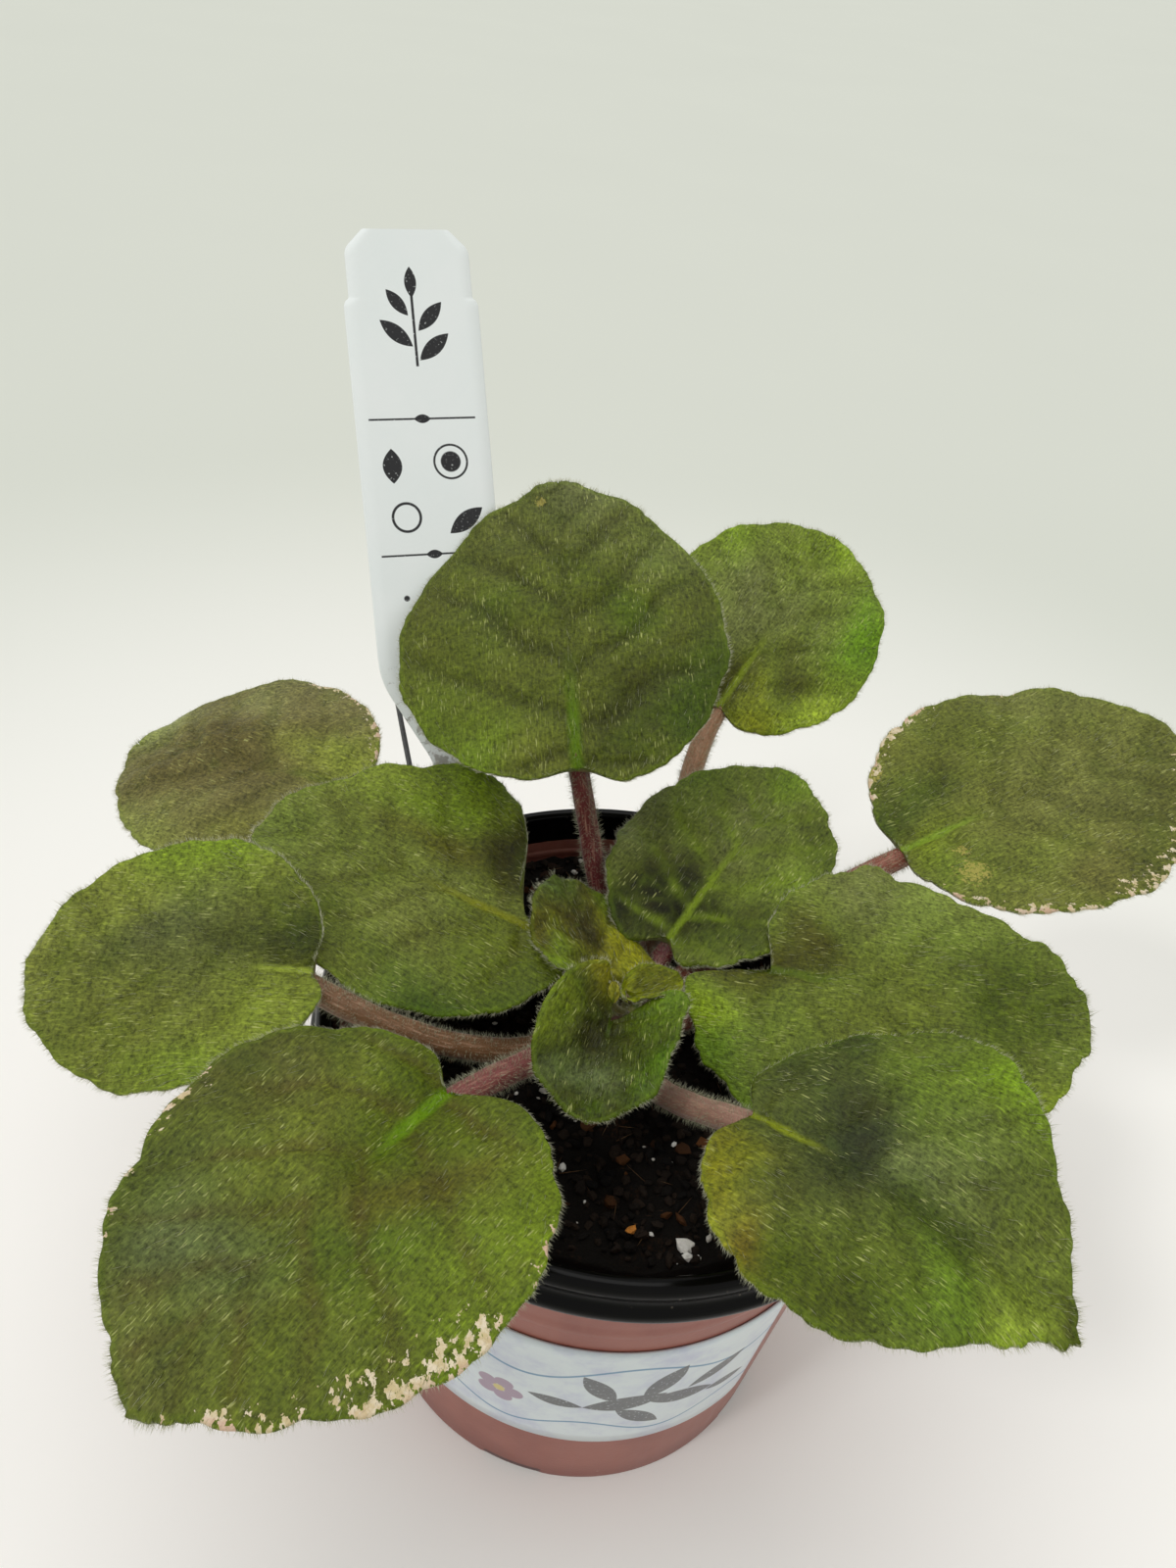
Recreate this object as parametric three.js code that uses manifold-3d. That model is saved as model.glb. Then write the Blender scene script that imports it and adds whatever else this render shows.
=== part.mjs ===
// A young African violet in a 4 inch nursery pot, with its plant tag.
// Millimetres, +Z up. The origin is the middle of the pot's base, on the surface the pot stands on,
// and -Y is the side with the pot's label.
import * as THREE from "three";
import { mergeVertices } from "three/addons/utils/BufferGeometryUtils.js";
import Module from "manifold-3d";

const GAP = 0.3; // left between pieces that touch

// Pot: a thin moulded pot, its wall leaning out to a wide rolled rim.
const POT = {
  height: 91.5,
  baseRadius: 41,
  neckRadius: 47.5, // outside of the wall, under the rim
  neckHeight: 84,
  wall: 1.2,
  floor: 1.6,
  rimInner: 50,
  rimRadius: 54,
  lipDrop: 7, // from the rim's top to the bottom of its turned-down lip
  lipBand: 1.5, // height of the lip's upright edge
  groove: { depth: 1.6, above: 3.4 }, // runs round the rim, this far above the lip's bottom
  bead: { setBack: 1, drop: 1.5, width: 1.6 }, // the rounded top of the rim
  innerStep: { top: 5, bottom: 11 }, // inside, these far below the rim's top, the wall comes in
  sides: 64,
  drains: { count: 5, first: -97, width: 13, height: 1.9, depth: 8, inset: 1.5 }, // first: degrees from +X
};

// Label: a sticker round the front of the wall.
const LABEL = { bottom: 21, top: 60, from: -132, to: -38, thickness: 0.5 };

const SOIL = { level: 84, bumps: 0.5, hollow: 1.2, hollowWidth: 14, rings: 6, sides: 48 };

// Crown: the short thick stem that every petiole grows from.
const CROWN = {
  radius: 6.5,
  footRadius: 5.2,
  topRadius: 4.9,
  foot: 68,
  waist: 76,
  shoulder: 89,
  top: 92.5,
  dome: 1,
  sides: 24,
};

// Tag: a stake label leaning back in the soil, and the slim stick behind it.
const TAG = {
  x: -35,
  y: 25,
  leanBack: 36,
  leanLeft: 18,
  turn: 24,
  width: 25,
  headWidth: 23,
  tailWidth: 7,
  thickness: 0.8,
  top: 125, // these heights are along the tag, from the soil
  shoulder: 112,
  taperTop: 43,
  taperEnd: 26,
  buried: 22,
  point: 6, // length of the pointed end in the soil
  notch: 0.8, // height of the small step at the shoulder
  corner: 3.5,
};
const STICK = { width: 1.1, base: [-38, 17, 84], top: [-55, 42.5, 117], buried: 20 };

// Leaves. Each blade lies along a heading from its base, where the petiole ends, and is bent into shape.
const BLADE = {
  thickness: 1.3,
  edgeThickness: 0.8,
  scallopDepth: 0.012, // over the width, as the next one is over the scallop's own height
  scallopMiddle: 0.6,
  scallopsFrom: 0.06, // the edge is plain next to the notch and the tip
  scallopsTo: 0.99,
  tipShare: 0.05, // share of the edge that draws out into the tip
  veinRise: 1.5, // over 1, the side veins crowd together towards the base
  liftReach: 0.6, // how far along the blade its base lobes are still lifted
  rows: 24,
  scallops: 8,
  columns: 3,
};
const PETIOLE = { radius: 2.1, sides: 8, steps: 9, reachUnder: 4, mostUnder: 0.12 };

// What a leaf has unless its own entry says otherwise.
const LEAF = {
  widest: 0.42, // how far along the length the widest place is
  lobeLeft: 0.1, // how far each base lobe reaches back, over the length
  lobeRight: 0.1,
  notchLeft: 0.09, // how wide the notch between the lobes is on each side, over the width
  notchRight: 0.09,
  point: 0.32, // 0 is a round end, 1 a sharp one
  tip: 0, // how far a small drawn-out tip stands past the length
  skew: 0, // over 0, the right half is the wider one
  sweep: 0, // how far the tip swings to the right
  roll: 0, // over 0, the right side is the lower one
  fold: 8, // degrees each half is raised about the midrib
  curl: -12, // degrees that each half turns from midrib to edge
  bend: 12, // degrees that the midrib turns down from base to tip
  liftLeft: 0, // more degrees of fold at the base lobe
  liftRight: 0,
  petiole: PETIOLE.radius,
  tier: 87.5, // height at which the petiole leaves the crown
  root: CROWN.radius + 0.8, // how far from the crown's axis it leaves
  arch: 4, // how far the petiole's middle rises over the straight line
  swing: 0, // how far it swings to the right
  reach: 0.3, // how far it goes on along its first direction, over its length
  settle: 0.3, // the same for its last direction
  rows: BLADE.rows,
  scallops: BLADE.scallops,
};
const LEAVES = [
  {
    name: "back_centre",
    base: [-16, 20, 124],
    heading: 109,
    pitch: 33,
    roll: -15,
    length: 60,
    width: 61,
    lobeLeft: 0.04,
    lobeRight: 0.08,
    point: 0.4,
    skew: -0.06,
    fold: -3,
    bend: 11,
    tier: 89,
    arch: -2,
    bearing: 108,
    petiole: 1.9,
    reach: 0.55,
    settle: 0.1,
  },
  {
    name: "back_right",
    base: [7, 71, 108],
    heading: 65,
    pitch: 28,
    roll: 18,
    length: 54,
    width: 48,
    lobeLeft: 0.1,
    lobeRight: 0.06,
    point: 0.22,
    skew: -0.03,
    fold: 10,
    bend: 10,
    arch: 2,
    bearing: 80,
    tier: 86.5,
  },
  {
    name: "far_right",
    base: [47, 45, 100],
    heading: 31,
    pitch: 18,
    roll: 5,
    length: 66,
    width: 59,
    lobeLeft: 0.04,
    lobeRight: 0.04,
    fold: 7,
    bend: 6,
    liftLeft: 8,
    liftRight: 8,
    arch: 5,
    bearing: 47,
    tier: 88.5,
  },
  {
    name: "far_left",
    base: [-64, 34, 98],
    heading: 163,
    pitch: -6,
    roll: -13,
    length: 57,
    width: 52,
    fold: 4,
    curl: -15,
    bend: 19,
    bearing: 163,
    arch: 6,
    swing: -4,
  },
  {
    name: "left",
    base: [-50, -17, 102],
    heading: 186,
    pitch: -4,
    roll: -21,
    length: 49,
    width: 44,
    lobeLeft: 0.07,
    lobeRight: 0.04,
    point: 0.31,
    fold: 8,
    bend: 12,
    liftLeft: 14,
    liftRight: 8,
    arch: -1,
    curl: -9,
    notchLeft: 0.07,
    notchRight: 0.11,
    bearing: 203,
    tier: 86,
    swing: -9.5,
  },
  {
    name: "inner_left",
    base: [-18, 3, 101],
    heading: 164,
    pitch: 2,
    roll: -7,
    length: 57,
    width: 51,
    lobeLeft: 0.16,
    lobeRight: -0.1,
    notchLeft: 0.05,
    notchRight: 0.05,
    skew: -0.03,
    fold: 10.5,
    curl: 1,
    bend: 8,
    liftLeft: -18,
    liftRight: 5,
    tier: 91.5,
    arch: 2,
  },
  {
    name: "inner_right",
    base: [5, 10, 98],
    heading: 66,
    pitch: 15,
    roll: 4,
    length: 47.5,
    width: 39.5,
    fold: 6,
    curl: -17,
    bend: 6,
    liftLeft: 15,
    liftRight: 8,
    petiole: 1.8,
    tier: 92.5,
    arch: 0,
    widest: 0.43,
    lobeLeft: 0.15,
    lobeRight: 0.08,
    point: 0.3,
    skew: -0.02,
    notchLeft: 0.11,
    notchRight: 0.06,
  },
  {
    name: "right",
    base: [23, 6, 100],
    heading: -4,
    pitch: 6,
    roll: 6,
    length: 52,
    width: 57,
    widest: 0.38,
    lobeLeft: 0.06,
    lobeRight: 0.28,
    notchLeft: 0.11,
    notchRight: 0.04,
    point: 0.15,
    skew: 0.06,
    fold: 3,
    curl: -18,
    bend: -2,
    liftLeft: 13,
    liftRight: -14,
    arch: 2,
    bearing: 8,
    tier: 86,
  },
  {
    name: "front_right",
    base: [21, -28, 104],
    heading: -29,
    pitch: 14,
    roll: 4,
    length: 48,
    width: 52,
    lobeLeft: 0.1,
    lobeRight: 0.07,
    notchLeft: 0.08,
    notchRight: 0.09,
    point: 0.45,
    tip: 2.5,
    skew: -0.03,
    fold: 13,
    curl: -10,
    bend: 13,
    arch: 0,
    sweep: 2.5,
    liftLeft: -14,
    bearing: -72,
    tier: 86,
  },
  {
    name: "front_left",
    base: [-23.5, -33, 100.5],
    heading: 243,
    pitch: 7,
    roll: 5,
    length: 55.5,
    width: 59.5,
    widest: 0.41,
    lobeLeft: 0.12,
    lobeRight: 0.09,
    point: 0.32,
    tip: 2,
    skew: -0.03,
    fold: 6,
    bend: 16,
    arch: 3,
    notchLeft: 0.11,
    notchRight: 0.07,
    sweep: -1,
    curl: -11,
    liftLeft: 2,
    liftRight: 8,
    tier: 88.7,
  },
  {
    name: "young_front",
    base: [-2, -13, 100],
    heading: -92,
    pitch: 13,
    roll: 3,
    length: 20.5,
    width: 25,
    widest: 0.34,
    lobeLeft: 0.25,
    lobeRight: 0.38,
    notchLeft: 0.15,
    notchRight: 0.15,
    fold: 19,
    curl: 12,
    bend: 24,
    liftLeft: 5,
    liftRight: 30,
    petiole: 1.4,
    tier: 90.5,
    arch: 1,
    scallops: 6,
    rows: 18,
  },
  {
    name: "young_back",
    base: [-3, -3, 98],
    heading: 128,
    pitch: 20,
    roll: 18,
    length: 23,
    width: 21,
    lobeLeft: 0.1,
    lobeRight: 0.05,
    fold: 4,
    curl: -22,
    bend: 9,
    liftLeft: 12,
    liftRight: 11,
    petiole: 1.3,
    tier: 94.2,
    root: 2.5,
    bearing: 150,
    arch: 0,
    scallops: 6,
    rows: 18,
  },
  {
    name: "bud_right",
    base: [-0.6, -6.5, 99.6],
    heading: 45,
    pitch: 25,
    length: 10,
    width: 10,
    fold: 35,
    petiole: 0.8,
    tier: 93.7,
    root: 2.5,
    bearing: -45,
    arch: 0,
    scallops: 4,
    rows: 12,
  },
  {
    name: "bud_left",
    base: [-2.5, -8.3, 100.1],
    heading: 100,
    pitch: 60,
    length: 3.2,
    width: 2.8,
    fold: 50,
    petiole: 0.7,
    tier: 93.7,
    root: 4.6,
    bearing: 268,
    arch: 0,
    scallops: 4,
    rows: 12,
  },
];

const COLOURS = {
  pot: "#9a6353",
  label: "#ced4d4",
  soil: "#1a1410",
  crown: "#4a2a20",
  blade: "#55702f",
  petiole: "#7d4038",
  tag: "#e6e9e6",
  stick: "#4c4a46",
};

const wasm = await Module();
wasm.setup();

const radians = THREE.MathUtils.degToRad;
const vector = (x, y, z) => new THREE.Vector3(x, y, z);

// Joins and cuts.

function toSolid(geometry) {
  const bare = geometry.clone();
  bare.deleteAttribute("normal");
  bare.deleteAttribute("uv");
  const merged = mergeVertices(bare, 1e-3);
  return new wasm.Manifold(
    new wasm.Mesh({
      numProp: 3,
      vertProperties: merged.attributes.position.array,
      triVerts: new Uint32Array(merged.index.array),
    }),
  );
}

function toGeometry(solid) {
  const mesh = solid.getMesh();
  const geometry = new THREE.BufferGeometry();
  geometry.setAttribute("position", new THREE.BufferAttribute(mesh.vertProperties, 3));
  geometry.setIndex(new THREE.BufferAttribute(mesh.triVerts, 1));
  return geometry;
}

function cut(geometry, cutters) {
  return toGeometry(cutters.reduce((solid, cutter) => solid.subtract(toSolid(cutter)), toSolid(geometry)));
}

// A closed body from points and triangles that face outwards.
function bodyOf(points, triangles) {
  const geometry = new THREE.BufferGeometry().setFromPoints(points);
  geometry.setIndex(triangles);
  geometry.computeVertexNormals();
  return geometry;
}

// A lathe round Z from [radius, height] pairs that run anticlockwise in the radius-height plane.
function lathe(profile, sides) {
  const points = profile.map(([radius, height]) => new THREE.Vector2(radius, height));
  return new THREE.LatheGeometry(points, sides).rotateX(Math.PI / 2);
}

// Pot, label and soil.

const wallRadius = (height) =>
  POT.baseRadius + ((POT.neckRadius - POT.baseRadius) * height) / POT.neckHeight;

function potGeometry() {
  const { height, wall, floor, rimInner, rimRadius, neckHeight, neckRadius, groove, bead, innerStep } = POT;
  const lipBottom = height - POT.lipDrop;
  const profile = [
    [0, 0],
    [POT.baseRadius, 0],
    [neckRadius, neckHeight],
    [rimRadius - wall, lipBottom],
    [rimRadius, lipBottom],
    [rimRadius, lipBottom + POT.lipBand],
    [rimRadius - groove.depth, lipBottom + groove.above],
    [rimRadius - bead.setBack, height - bead.drop],
    [rimInner + bead.width, height],
    [rimInner, height - bead.drop / 3],
    [rimInner - bead.drop / 3, height - innerStep.top],
    [neckRadius - wall, height - innerStep.bottom],
    [wallRadius(floor) - wall, floor],
    [0, floor],
  ];
  const body = lathe(profile, POT.sides);
  const { count, first, width, depth, inset } = POT.drains;
  const slots = Array.from({ length: count }, (_, i) => {
    const slot = new THREE.BoxGeometry(depth, width, 2 * POT.drains.height);
    slot.translate(POT.baseRadius - inset, 0, 0);
    return slot.rotateZ(radians(first + (360 / count) * i));
  });
  return cut(body, slots);
}

// The sticker follows the pot's flat sides, so it has a corner wherever the wall has one.
function labelGeometry() {
  const step = 360 / POT.sides;
  const first = Math.ceil(LABEL.from / step);
  const last = Math.floor(LABEL.to / step);
  const points = [];
  for (let i = first; i <= last; i += 1) {
    const angle = radians(i * step);
    for (const [height, out] of [
      [LABEL.bottom, GAP],
      [LABEL.bottom, GAP + LABEL.thickness],
      [LABEL.top, GAP + LABEL.thickness],
      [LABEL.top, GAP],
    ]) {
      const radius = wallRadius(height) + out;
      points.push(vector(radius * Math.cos(angle), radius * Math.sin(angle), height));
    }
  }
  const triangles = [0, 1, 2, 0, 2, 3];
  const count = last - first;
  for (let i = 0; i < count; i += 1) {
    for (let side = 0; side < 4; side += 1) {
      const a = 4 * i + side;
      const b = 4 * i + ((side + 1) % 4);
      triangles.push(a, a + 4, b + 4, a, b + 4, b);
    }
  }
  const end = 4 * count;
  triangles.push(end, end + 2, end + 1, end, end + 3, end + 2);
  return bodyOf(points, triangles);
}

// Height of the soil: gentle lumps from a few waves, a little lower round the crown.
function soilHeight(x, y) {
  const lumps = Math.sin(0.31 * x + 1.3) * Math.cos(0.27 * y) + 0.6 * Math.sin(0.53 * y - 0.4 * x);
  const hollow = Math.exp(-((Math.hypot(x, y) / SOIL.hollowWidth) ** 2));
  return SOIL.level + SOIL.bumps * lumps - SOIL.hollow * hollow;
}

function soilGeometry(cutters) {
  const bottom = POT.floor + GAP;
  const bottomRadius = wallRadius(bottom) - POT.wall - GAP;
  const topRadius = wallRadius(POT.height - POT.innerStep.bottom) - POT.wall - GAP;
  const ring = (radius, height) =>
    Array.from({ length: SOIL.sides }, (_, i) => {
      const angle = (2 * Math.PI * i) / SOIL.sides;
      const x = radius * Math.cos(angle);
      const y = radius * Math.sin(angle);
      return vector(x, y, height === null ? soilHeight(x, y) : height);
    });
  const points = [vector(0, 0, bottom), ...ring(bottomRadius, bottom)];
  for (let i = SOIL.rings; i > 0; i -= 1) points.push(...ring((topRadius * i) / SOIL.rings, null));
  points.push(vector(0, 0, soilHeight(0, 0)));
  const last = points.length - 1;
  const triangles = [];
  for (let i = 0; i < SOIL.sides; i += 1) {
    const next = (i + 1) % SOIL.sides;
    triangles.push(0, 1 + next, 1 + i);
    for (let k = 0; k < SOIL.rings; k += 1) {
      const low = 1 + k * SOIL.sides;
      const high = low + SOIL.sides;
      triangles.push(low + i, low + next, high + next, low + i, high + next, high + i);
    }
    const inner = 1 + SOIL.rings * SOIL.sides;
    triangles.push(inner + i, inner + next, last);
  }
  return cut(bodyOf(points, triangles), cutters);
}

// Crown.

function crownGeometry(grow = 0) {
  const { radius, footRadius, topRadius, foot, waist, shoulder, top, dome, sides } = CROWN;
  const profile = [
    [0, foot - grow],
    [footRadius + grow, foot - grow],
    [radius + grow, waist],
    [radius + grow, shoulder],
    [topRadius + grow, top - dome],
    [0, top + grow],
  ];
  return lathe(profile, sides);
}

// Tag and stick. The tag is a flat strip with its own Y up along it, then leant into place.

function leanIntoSoil(geometry, { turn, leanBack, leanLeft, x, y }) {
  const up = vector(-Math.sin(radians(leanLeft)), Math.sin(radians(leanBack)), 1).normalize();
  const across = vector(Math.cos(radians(turn)), Math.sin(radians(turn)), 0);
  across.addScaledVector(up, -across.dot(up)).normalize();
  const out = across.clone().cross(up);
  const pose = new THREE.Matrix4().makeBasis(across, up, out);
  pose.setPosition(x, y, SOIL.level);
  return geometry.applyMatrix4(pose);
}

function tagOutline(grow) {
  const { width, headWidth, tailWidth, top, shoulder, taperTop, taperEnd, buried, corner } = TAG;
  const half = [
    [0, -buried - grow],
    [tailWidth / 2 + grow, TAG.point - buried],
    [tailWidth / 2 + grow, taperEnd],
    [width / 2 + grow, taperTop],
    [width / 2 + grow, shoulder],
    [headWidth / 2 + grow, shoulder + TAG.notch],
    [headWidth / 2 + grow, top - corner],
    [headWidth / 2 - corner + grow, top + grow],
  ];
  const mirrored = half.slice(1).reverse().map(([across, along]) => [-across, along]);
  return new THREE.Shape([...half, ...mirrored].map(([across, along]) => new THREE.Vector2(across, along)));
}

function tagGeometry(grow = 0) {
  const depth = TAG.thickness + 2 * grow;
  const slab = new THREE.ExtrudeGeometry(tagOutline(grow), { depth, bevelEnabled: false });
  slab.translate(0, 0, -depth / 2);
  return leanIntoSoil(slab, TAG);
}

function stickGeometry(grow = 0) {
  const { width, base, top, buried } = STICK;
  const along = vector(...top).sub(vector(...base));
  const length = along.length() + buried;
  const bar = new THREE.BoxGeometry(width + 2 * grow, length + grow, width + 2 * grow);
  bar.translate(0, -(length + grow) / 2, 0);
  const turn = new THREE.Quaternion().setFromUnitVectors(vector(0, 1, 0), along.normalize());
  return bar.applyQuaternion(turn).translate(...top);
}

// Leaf blades.

// The edge of the flat blade on one side (1 right, -1 left), with t running from the notch to the tip.
function edgePoint(leaf, side, t) {
  const angle = Math.PI * t;
  const halfWidth = (leaf.width / 2) * (1 + side * leaf.skew);
  const lobe = (side > 0 ? leaf.lobeRight : leaf.lobeLeft) * leaf.length;
  const widest = leaf.widest * leaf.length;
  if (t > 0.5) {
    const x = halfWidth * Math.abs(Math.sin(angle)) ** (1 + leaf.point);
    const tip = leaf.tip * Math.exp((t - 1) / BLADE.tipShare);
    return [side * x, widest - (leaf.length - widest) * Math.cos(angle) + tip];
  }
  const x = halfWidth * Math.sin(angle);
  const notchWidth = (side > 0 ? leaf.notchRight : leaf.notchLeft) * leaf.width;
  const notch = lobe * Math.exp(-((x / notchWidth) ** 2));
  return [side * x, widest - (widest + lobe) * Math.cos(angle) + notch];
}

// A point of the flat blade: t picks the vein, and u runs along it from midrib (0) to edge (1 or -1).
function flatPoint(leaf, t, u) {
  const [edgeX, edgeY] = edgePoint(leaf, u < 0 ? -1 : 1, t);
  const midribY = (leaf.length + leaf.tip) * t ** BLADE.veinRise;
  const waved = Math.abs(u) === 1 && t > BLADE.scallopsFrom && t < BLADE.scallopsTo;
  const wave = waved ? Math.abs(Math.sin(Math.PI * leaf.scallops * t)) - BLADE.scallopMiddle : 0;
  const depth = waved ? (BLADE.scallopDepth * wave * leaf.width) / Math.hypot(edgeX, edgeY - midribY) : 0;
  const reach = Math.abs(u) * (1 + depth);
  return [edgeX * reach, midribY + (edgeY - midribY) * reach];
}

// Arc of a strip that starts at an angle and turns on evenly: how far it gets along and up.
function arc(start, turnPerMm, distance) {
  if (Math.abs(turnPerMm) < 1e-6) return [distance * Math.cos(start), distance * Math.sin(start)];
  const end = start + turnPerMm * distance;
  return [(Math.sin(end) - Math.sin(start)) / turnPerMm, (Math.cos(start) - Math.cos(end)) / turnPerMm];
}

// The bent blade in its own axes (right, forward, up), down below its top face by the depth given.
function bentPoint(leaf, x, y, depth) {
  const side = Math.sign(x);
  const lift = side > 0 ? leaf.liftRight : leaf.liftLeft;
  const nearBase = THREE.MathUtils.clamp(1 - y / (BLADE.liftReach * leaf.length), 0, 1.5);
  const fold = radians(leaf.fold + (side === 0 ? 0 : lift * nearBase));
  const turn = radians(leaf.curl) / (leaf.width / 2);
  const [across, up] = arc(fold, turn, Math.abs(x));
  const slope = side === 0 ? 0 : fold + turn * Math.abs(x);
  const outward = across + depth * Math.sin(slope);
  const height = up - depth * Math.cos(slope);
  const bend = radians(leaf.bend) / leaf.length;
  const [forward, drop] = arc(0, bend, y);
  const lean = bend * y;
  const sideways = side * outward + leaf.sweep * Math.max(0, y / leaf.length) ** 3;
  return vector(sideways, forward + height * Math.sin(lean), height * Math.cos(lean) - drop);
}

function bladeAxes(leaf) {
  const heading = radians(leaf.heading);
  const pitch = radians(leaf.pitch);
  const roll = radians(leaf.roll);
  const level = vector(Math.cos(heading), Math.sin(heading), 0);
  const side = vector(Math.sin(heading), -Math.cos(heading), 0);
  const forward = level.clone().multiplyScalar(Math.cos(pitch)).setZ(Math.sin(pitch));
  const up = level.clone().multiplyScalar(-Math.sin(pitch)).setZ(Math.cos(pitch));
  const right = side.clone().multiplyScalar(Math.cos(roll)).addScaledVector(up, -Math.sin(roll));
  const normal = side.clone().multiplyScalar(Math.sin(roll)).addScaledVector(up, Math.cos(roll));
  return { right, forward, normal };
}

function bladeMatrix(leaf) {
  const { right, forward, normal } = bladeAxes(leaf);
  return new THREE.Matrix4().makeBasis(right, forward, normal).setPosition(...leaf.base);
}

function bladeGeometry(leaf) {
  const across = 2 * BLADE.columns + 1;
  const face = (fullDepth) => {
    const at = (t, u) => {
      const [x, y] = flatPoint(leaf, t, u);
      const depth = fullDepth && THREE.MathUtils.lerp(BLADE.thickness, BLADE.edgeThickness, Math.abs(u));
      return bentPoint(leaf, x, y, depth);
    };
    const points = [at(0, 0)];
    for (let row = 1; row < leaf.rows; row += 1) {
      for (let k = -BLADE.columns; k <= BLADE.columns; k += 1) {
        points.push(at(row / leaf.rows, k / BLADE.columns));
      }
    }
    points.push(at(1, 0));
    return points;
  };
  const top = face(false);
  const points = [...top, ...face(true)];
  const under = top.length;
  const base = 0;
  const tip = top.length - 1;
  const vertex = (row, column) => 1 + (row - 1) * across + column;
  const skin = [];
  for (let k = 0; k < across - 1; k += 1) {
    skin.push([base, vertex(1, k + 1), vertex(1, k)]);
    for (let row = 1; row < leaf.rows - 1; row += 1) {
      const [a, b, c, d] = [vertex(row, k), vertex(row, k + 1), vertex(row + 1, k + 1), vertex(row + 1, k)];
      if (k < BLADE.columns) skin.push([a, b, d], [b, c, d]);
      else skin.push([a, b, c], [a, c, d]);
    }
    skin.push([tip, vertex(leaf.rows - 1, k), vertex(leaf.rows - 1, k + 1)]);
  }
  const triangles = skin.flatMap(([a, b, c]) => [a, b, c, under + a, under + c, under + b]);
  const rows = Array.from({ length: leaf.rows - 1 }, (_, i) => i + 1);
  const border = [
    base,
    ...rows.map((row) => vertex(row, across - 1)),
    tip,
    ...rows.reverse().map((row) => vertex(row, 0)),
  ];
  border.forEach((a, i) => {
    const b = border[(i + 1) % border.length];
    triangles.push(a, under + a, under + b, a, under + b, b);
  });
  return bodyOf(points, triangles).applyMatrix4(bladeMatrix(leaf));
}

// Petioles: each runs from the crown to the underside of its blade, and ends along the midrib.

function petiolePath(leaf) {
  const { forward, normal } = bladeAxes(leaf);
  const drop = BLADE.thickness + GAP + leaf.petiole;
  const bladeBase = vector(...leaf.base);
  const reachUnder = Math.min(PETIOLE.reachUnder, PETIOLE.mostUnder * leaf.length);
  const end = bladeBase.clone().addScaledVector(normal, -drop).addScaledVector(forward, reachUnder);
  const bearing = leaf.bearing === undefined ? Math.atan2(end.y, end.x) : radians(leaf.bearing);
  const outward = vector(Math.cos(bearing), Math.sin(bearing), 0);
  const start = outward.clone().multiplyScalar(leaf.root).setZ(leaf.tier);
  const span = start.distanceTo(end);
  const aside = vector(end.y - start.y, start.x - end.x, 0).normalize().multiplyScalar(leaf.swing);
  const leave = start.clone().addScaledVector(outward, span * leaf.reach).add(aside);
  leave.z += leaf.arch;
  const arrive = end.clone().addScaledVector(forward, -span * leaf.settle).add(aside);
  return new THREE.CubicBezierCurve3(start, leave, arrive, end);
}

function petioleGeometry(leaf) {
  const section = new THREE.Shape().absarc(0, 0, leaf.petiole, 0, 2 * Math.PI);
  return new THREE.ExtrudeGeometry(section, {
    steps: PETIOLE.steps,
    curveSegments: PETIOLE.sides / 2,
    extrudePath: petiolePath(leaf),
  });
}

// Assembly.

const violet = new THREE.Group();

function add(name, geometry, color, roughness) {
  const mesh = new THREE.Mesh(geometry, new THREE.MeshStandardMaterial({ color, roughness, metalness: 0 }));
  mesh.name = name;
  violet.add(mesh);
}

add("pot", potGeometry(), COLOURS.pot, 0.45);
add("pot_label", labelGeometry(), COLOURS.label, 0.35);
add("soil", soilGeometry([crownGeometry(GAP), tagGeometry(GAP), stickGeometry(GAP)]), COLOURS.soil, 0.95);
add("crown", crownGeometry(), COLOURS.crown, 0.8);
add("plant_tag", tagGeometry(), COLOURS.tag, 0.4);
add("tag_stick", stickGeometry(), COLOURS.stick, 0.6);
for (const entry of LEAVES) {
  const leaf = { ...LEAF, ...entry };
  add(`blade_${leaf.name}`, bladeGeometry(leaf), COLOURS.blade, 0.6);
  add(`petiole_${leaf.name}`, petioleGeometry(leaf), COLOURS.petiole, 0.6);
}

export default violet;
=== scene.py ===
"""Potted african violet: hairy leaves on their stalks, crown, soil, pot, label, tag and stick.

The tables are in millimetres and the meshes in metres. X points to the right of the pot's front,
Y back and Z up, and the pot stands on Z = 0.
"""

import math
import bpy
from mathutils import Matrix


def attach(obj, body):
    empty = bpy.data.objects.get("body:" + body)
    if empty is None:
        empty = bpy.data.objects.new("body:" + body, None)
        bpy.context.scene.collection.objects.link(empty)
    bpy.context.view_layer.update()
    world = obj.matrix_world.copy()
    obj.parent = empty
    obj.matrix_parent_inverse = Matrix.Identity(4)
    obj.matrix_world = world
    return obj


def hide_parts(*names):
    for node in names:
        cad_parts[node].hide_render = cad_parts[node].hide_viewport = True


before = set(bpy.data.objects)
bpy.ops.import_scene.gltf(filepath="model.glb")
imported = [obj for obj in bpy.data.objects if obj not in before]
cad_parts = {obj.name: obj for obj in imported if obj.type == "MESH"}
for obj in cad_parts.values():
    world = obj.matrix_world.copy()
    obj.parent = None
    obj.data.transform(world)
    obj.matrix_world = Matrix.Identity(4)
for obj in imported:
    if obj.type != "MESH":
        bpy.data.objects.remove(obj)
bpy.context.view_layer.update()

from types import SimpleNamespace

import bpy
import numpy as np
from mathutils import Matrix, Vector

MM = 0.001

# A flat map counts in hundreds of millimetres.
FLAT_UNIT = 100

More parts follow.
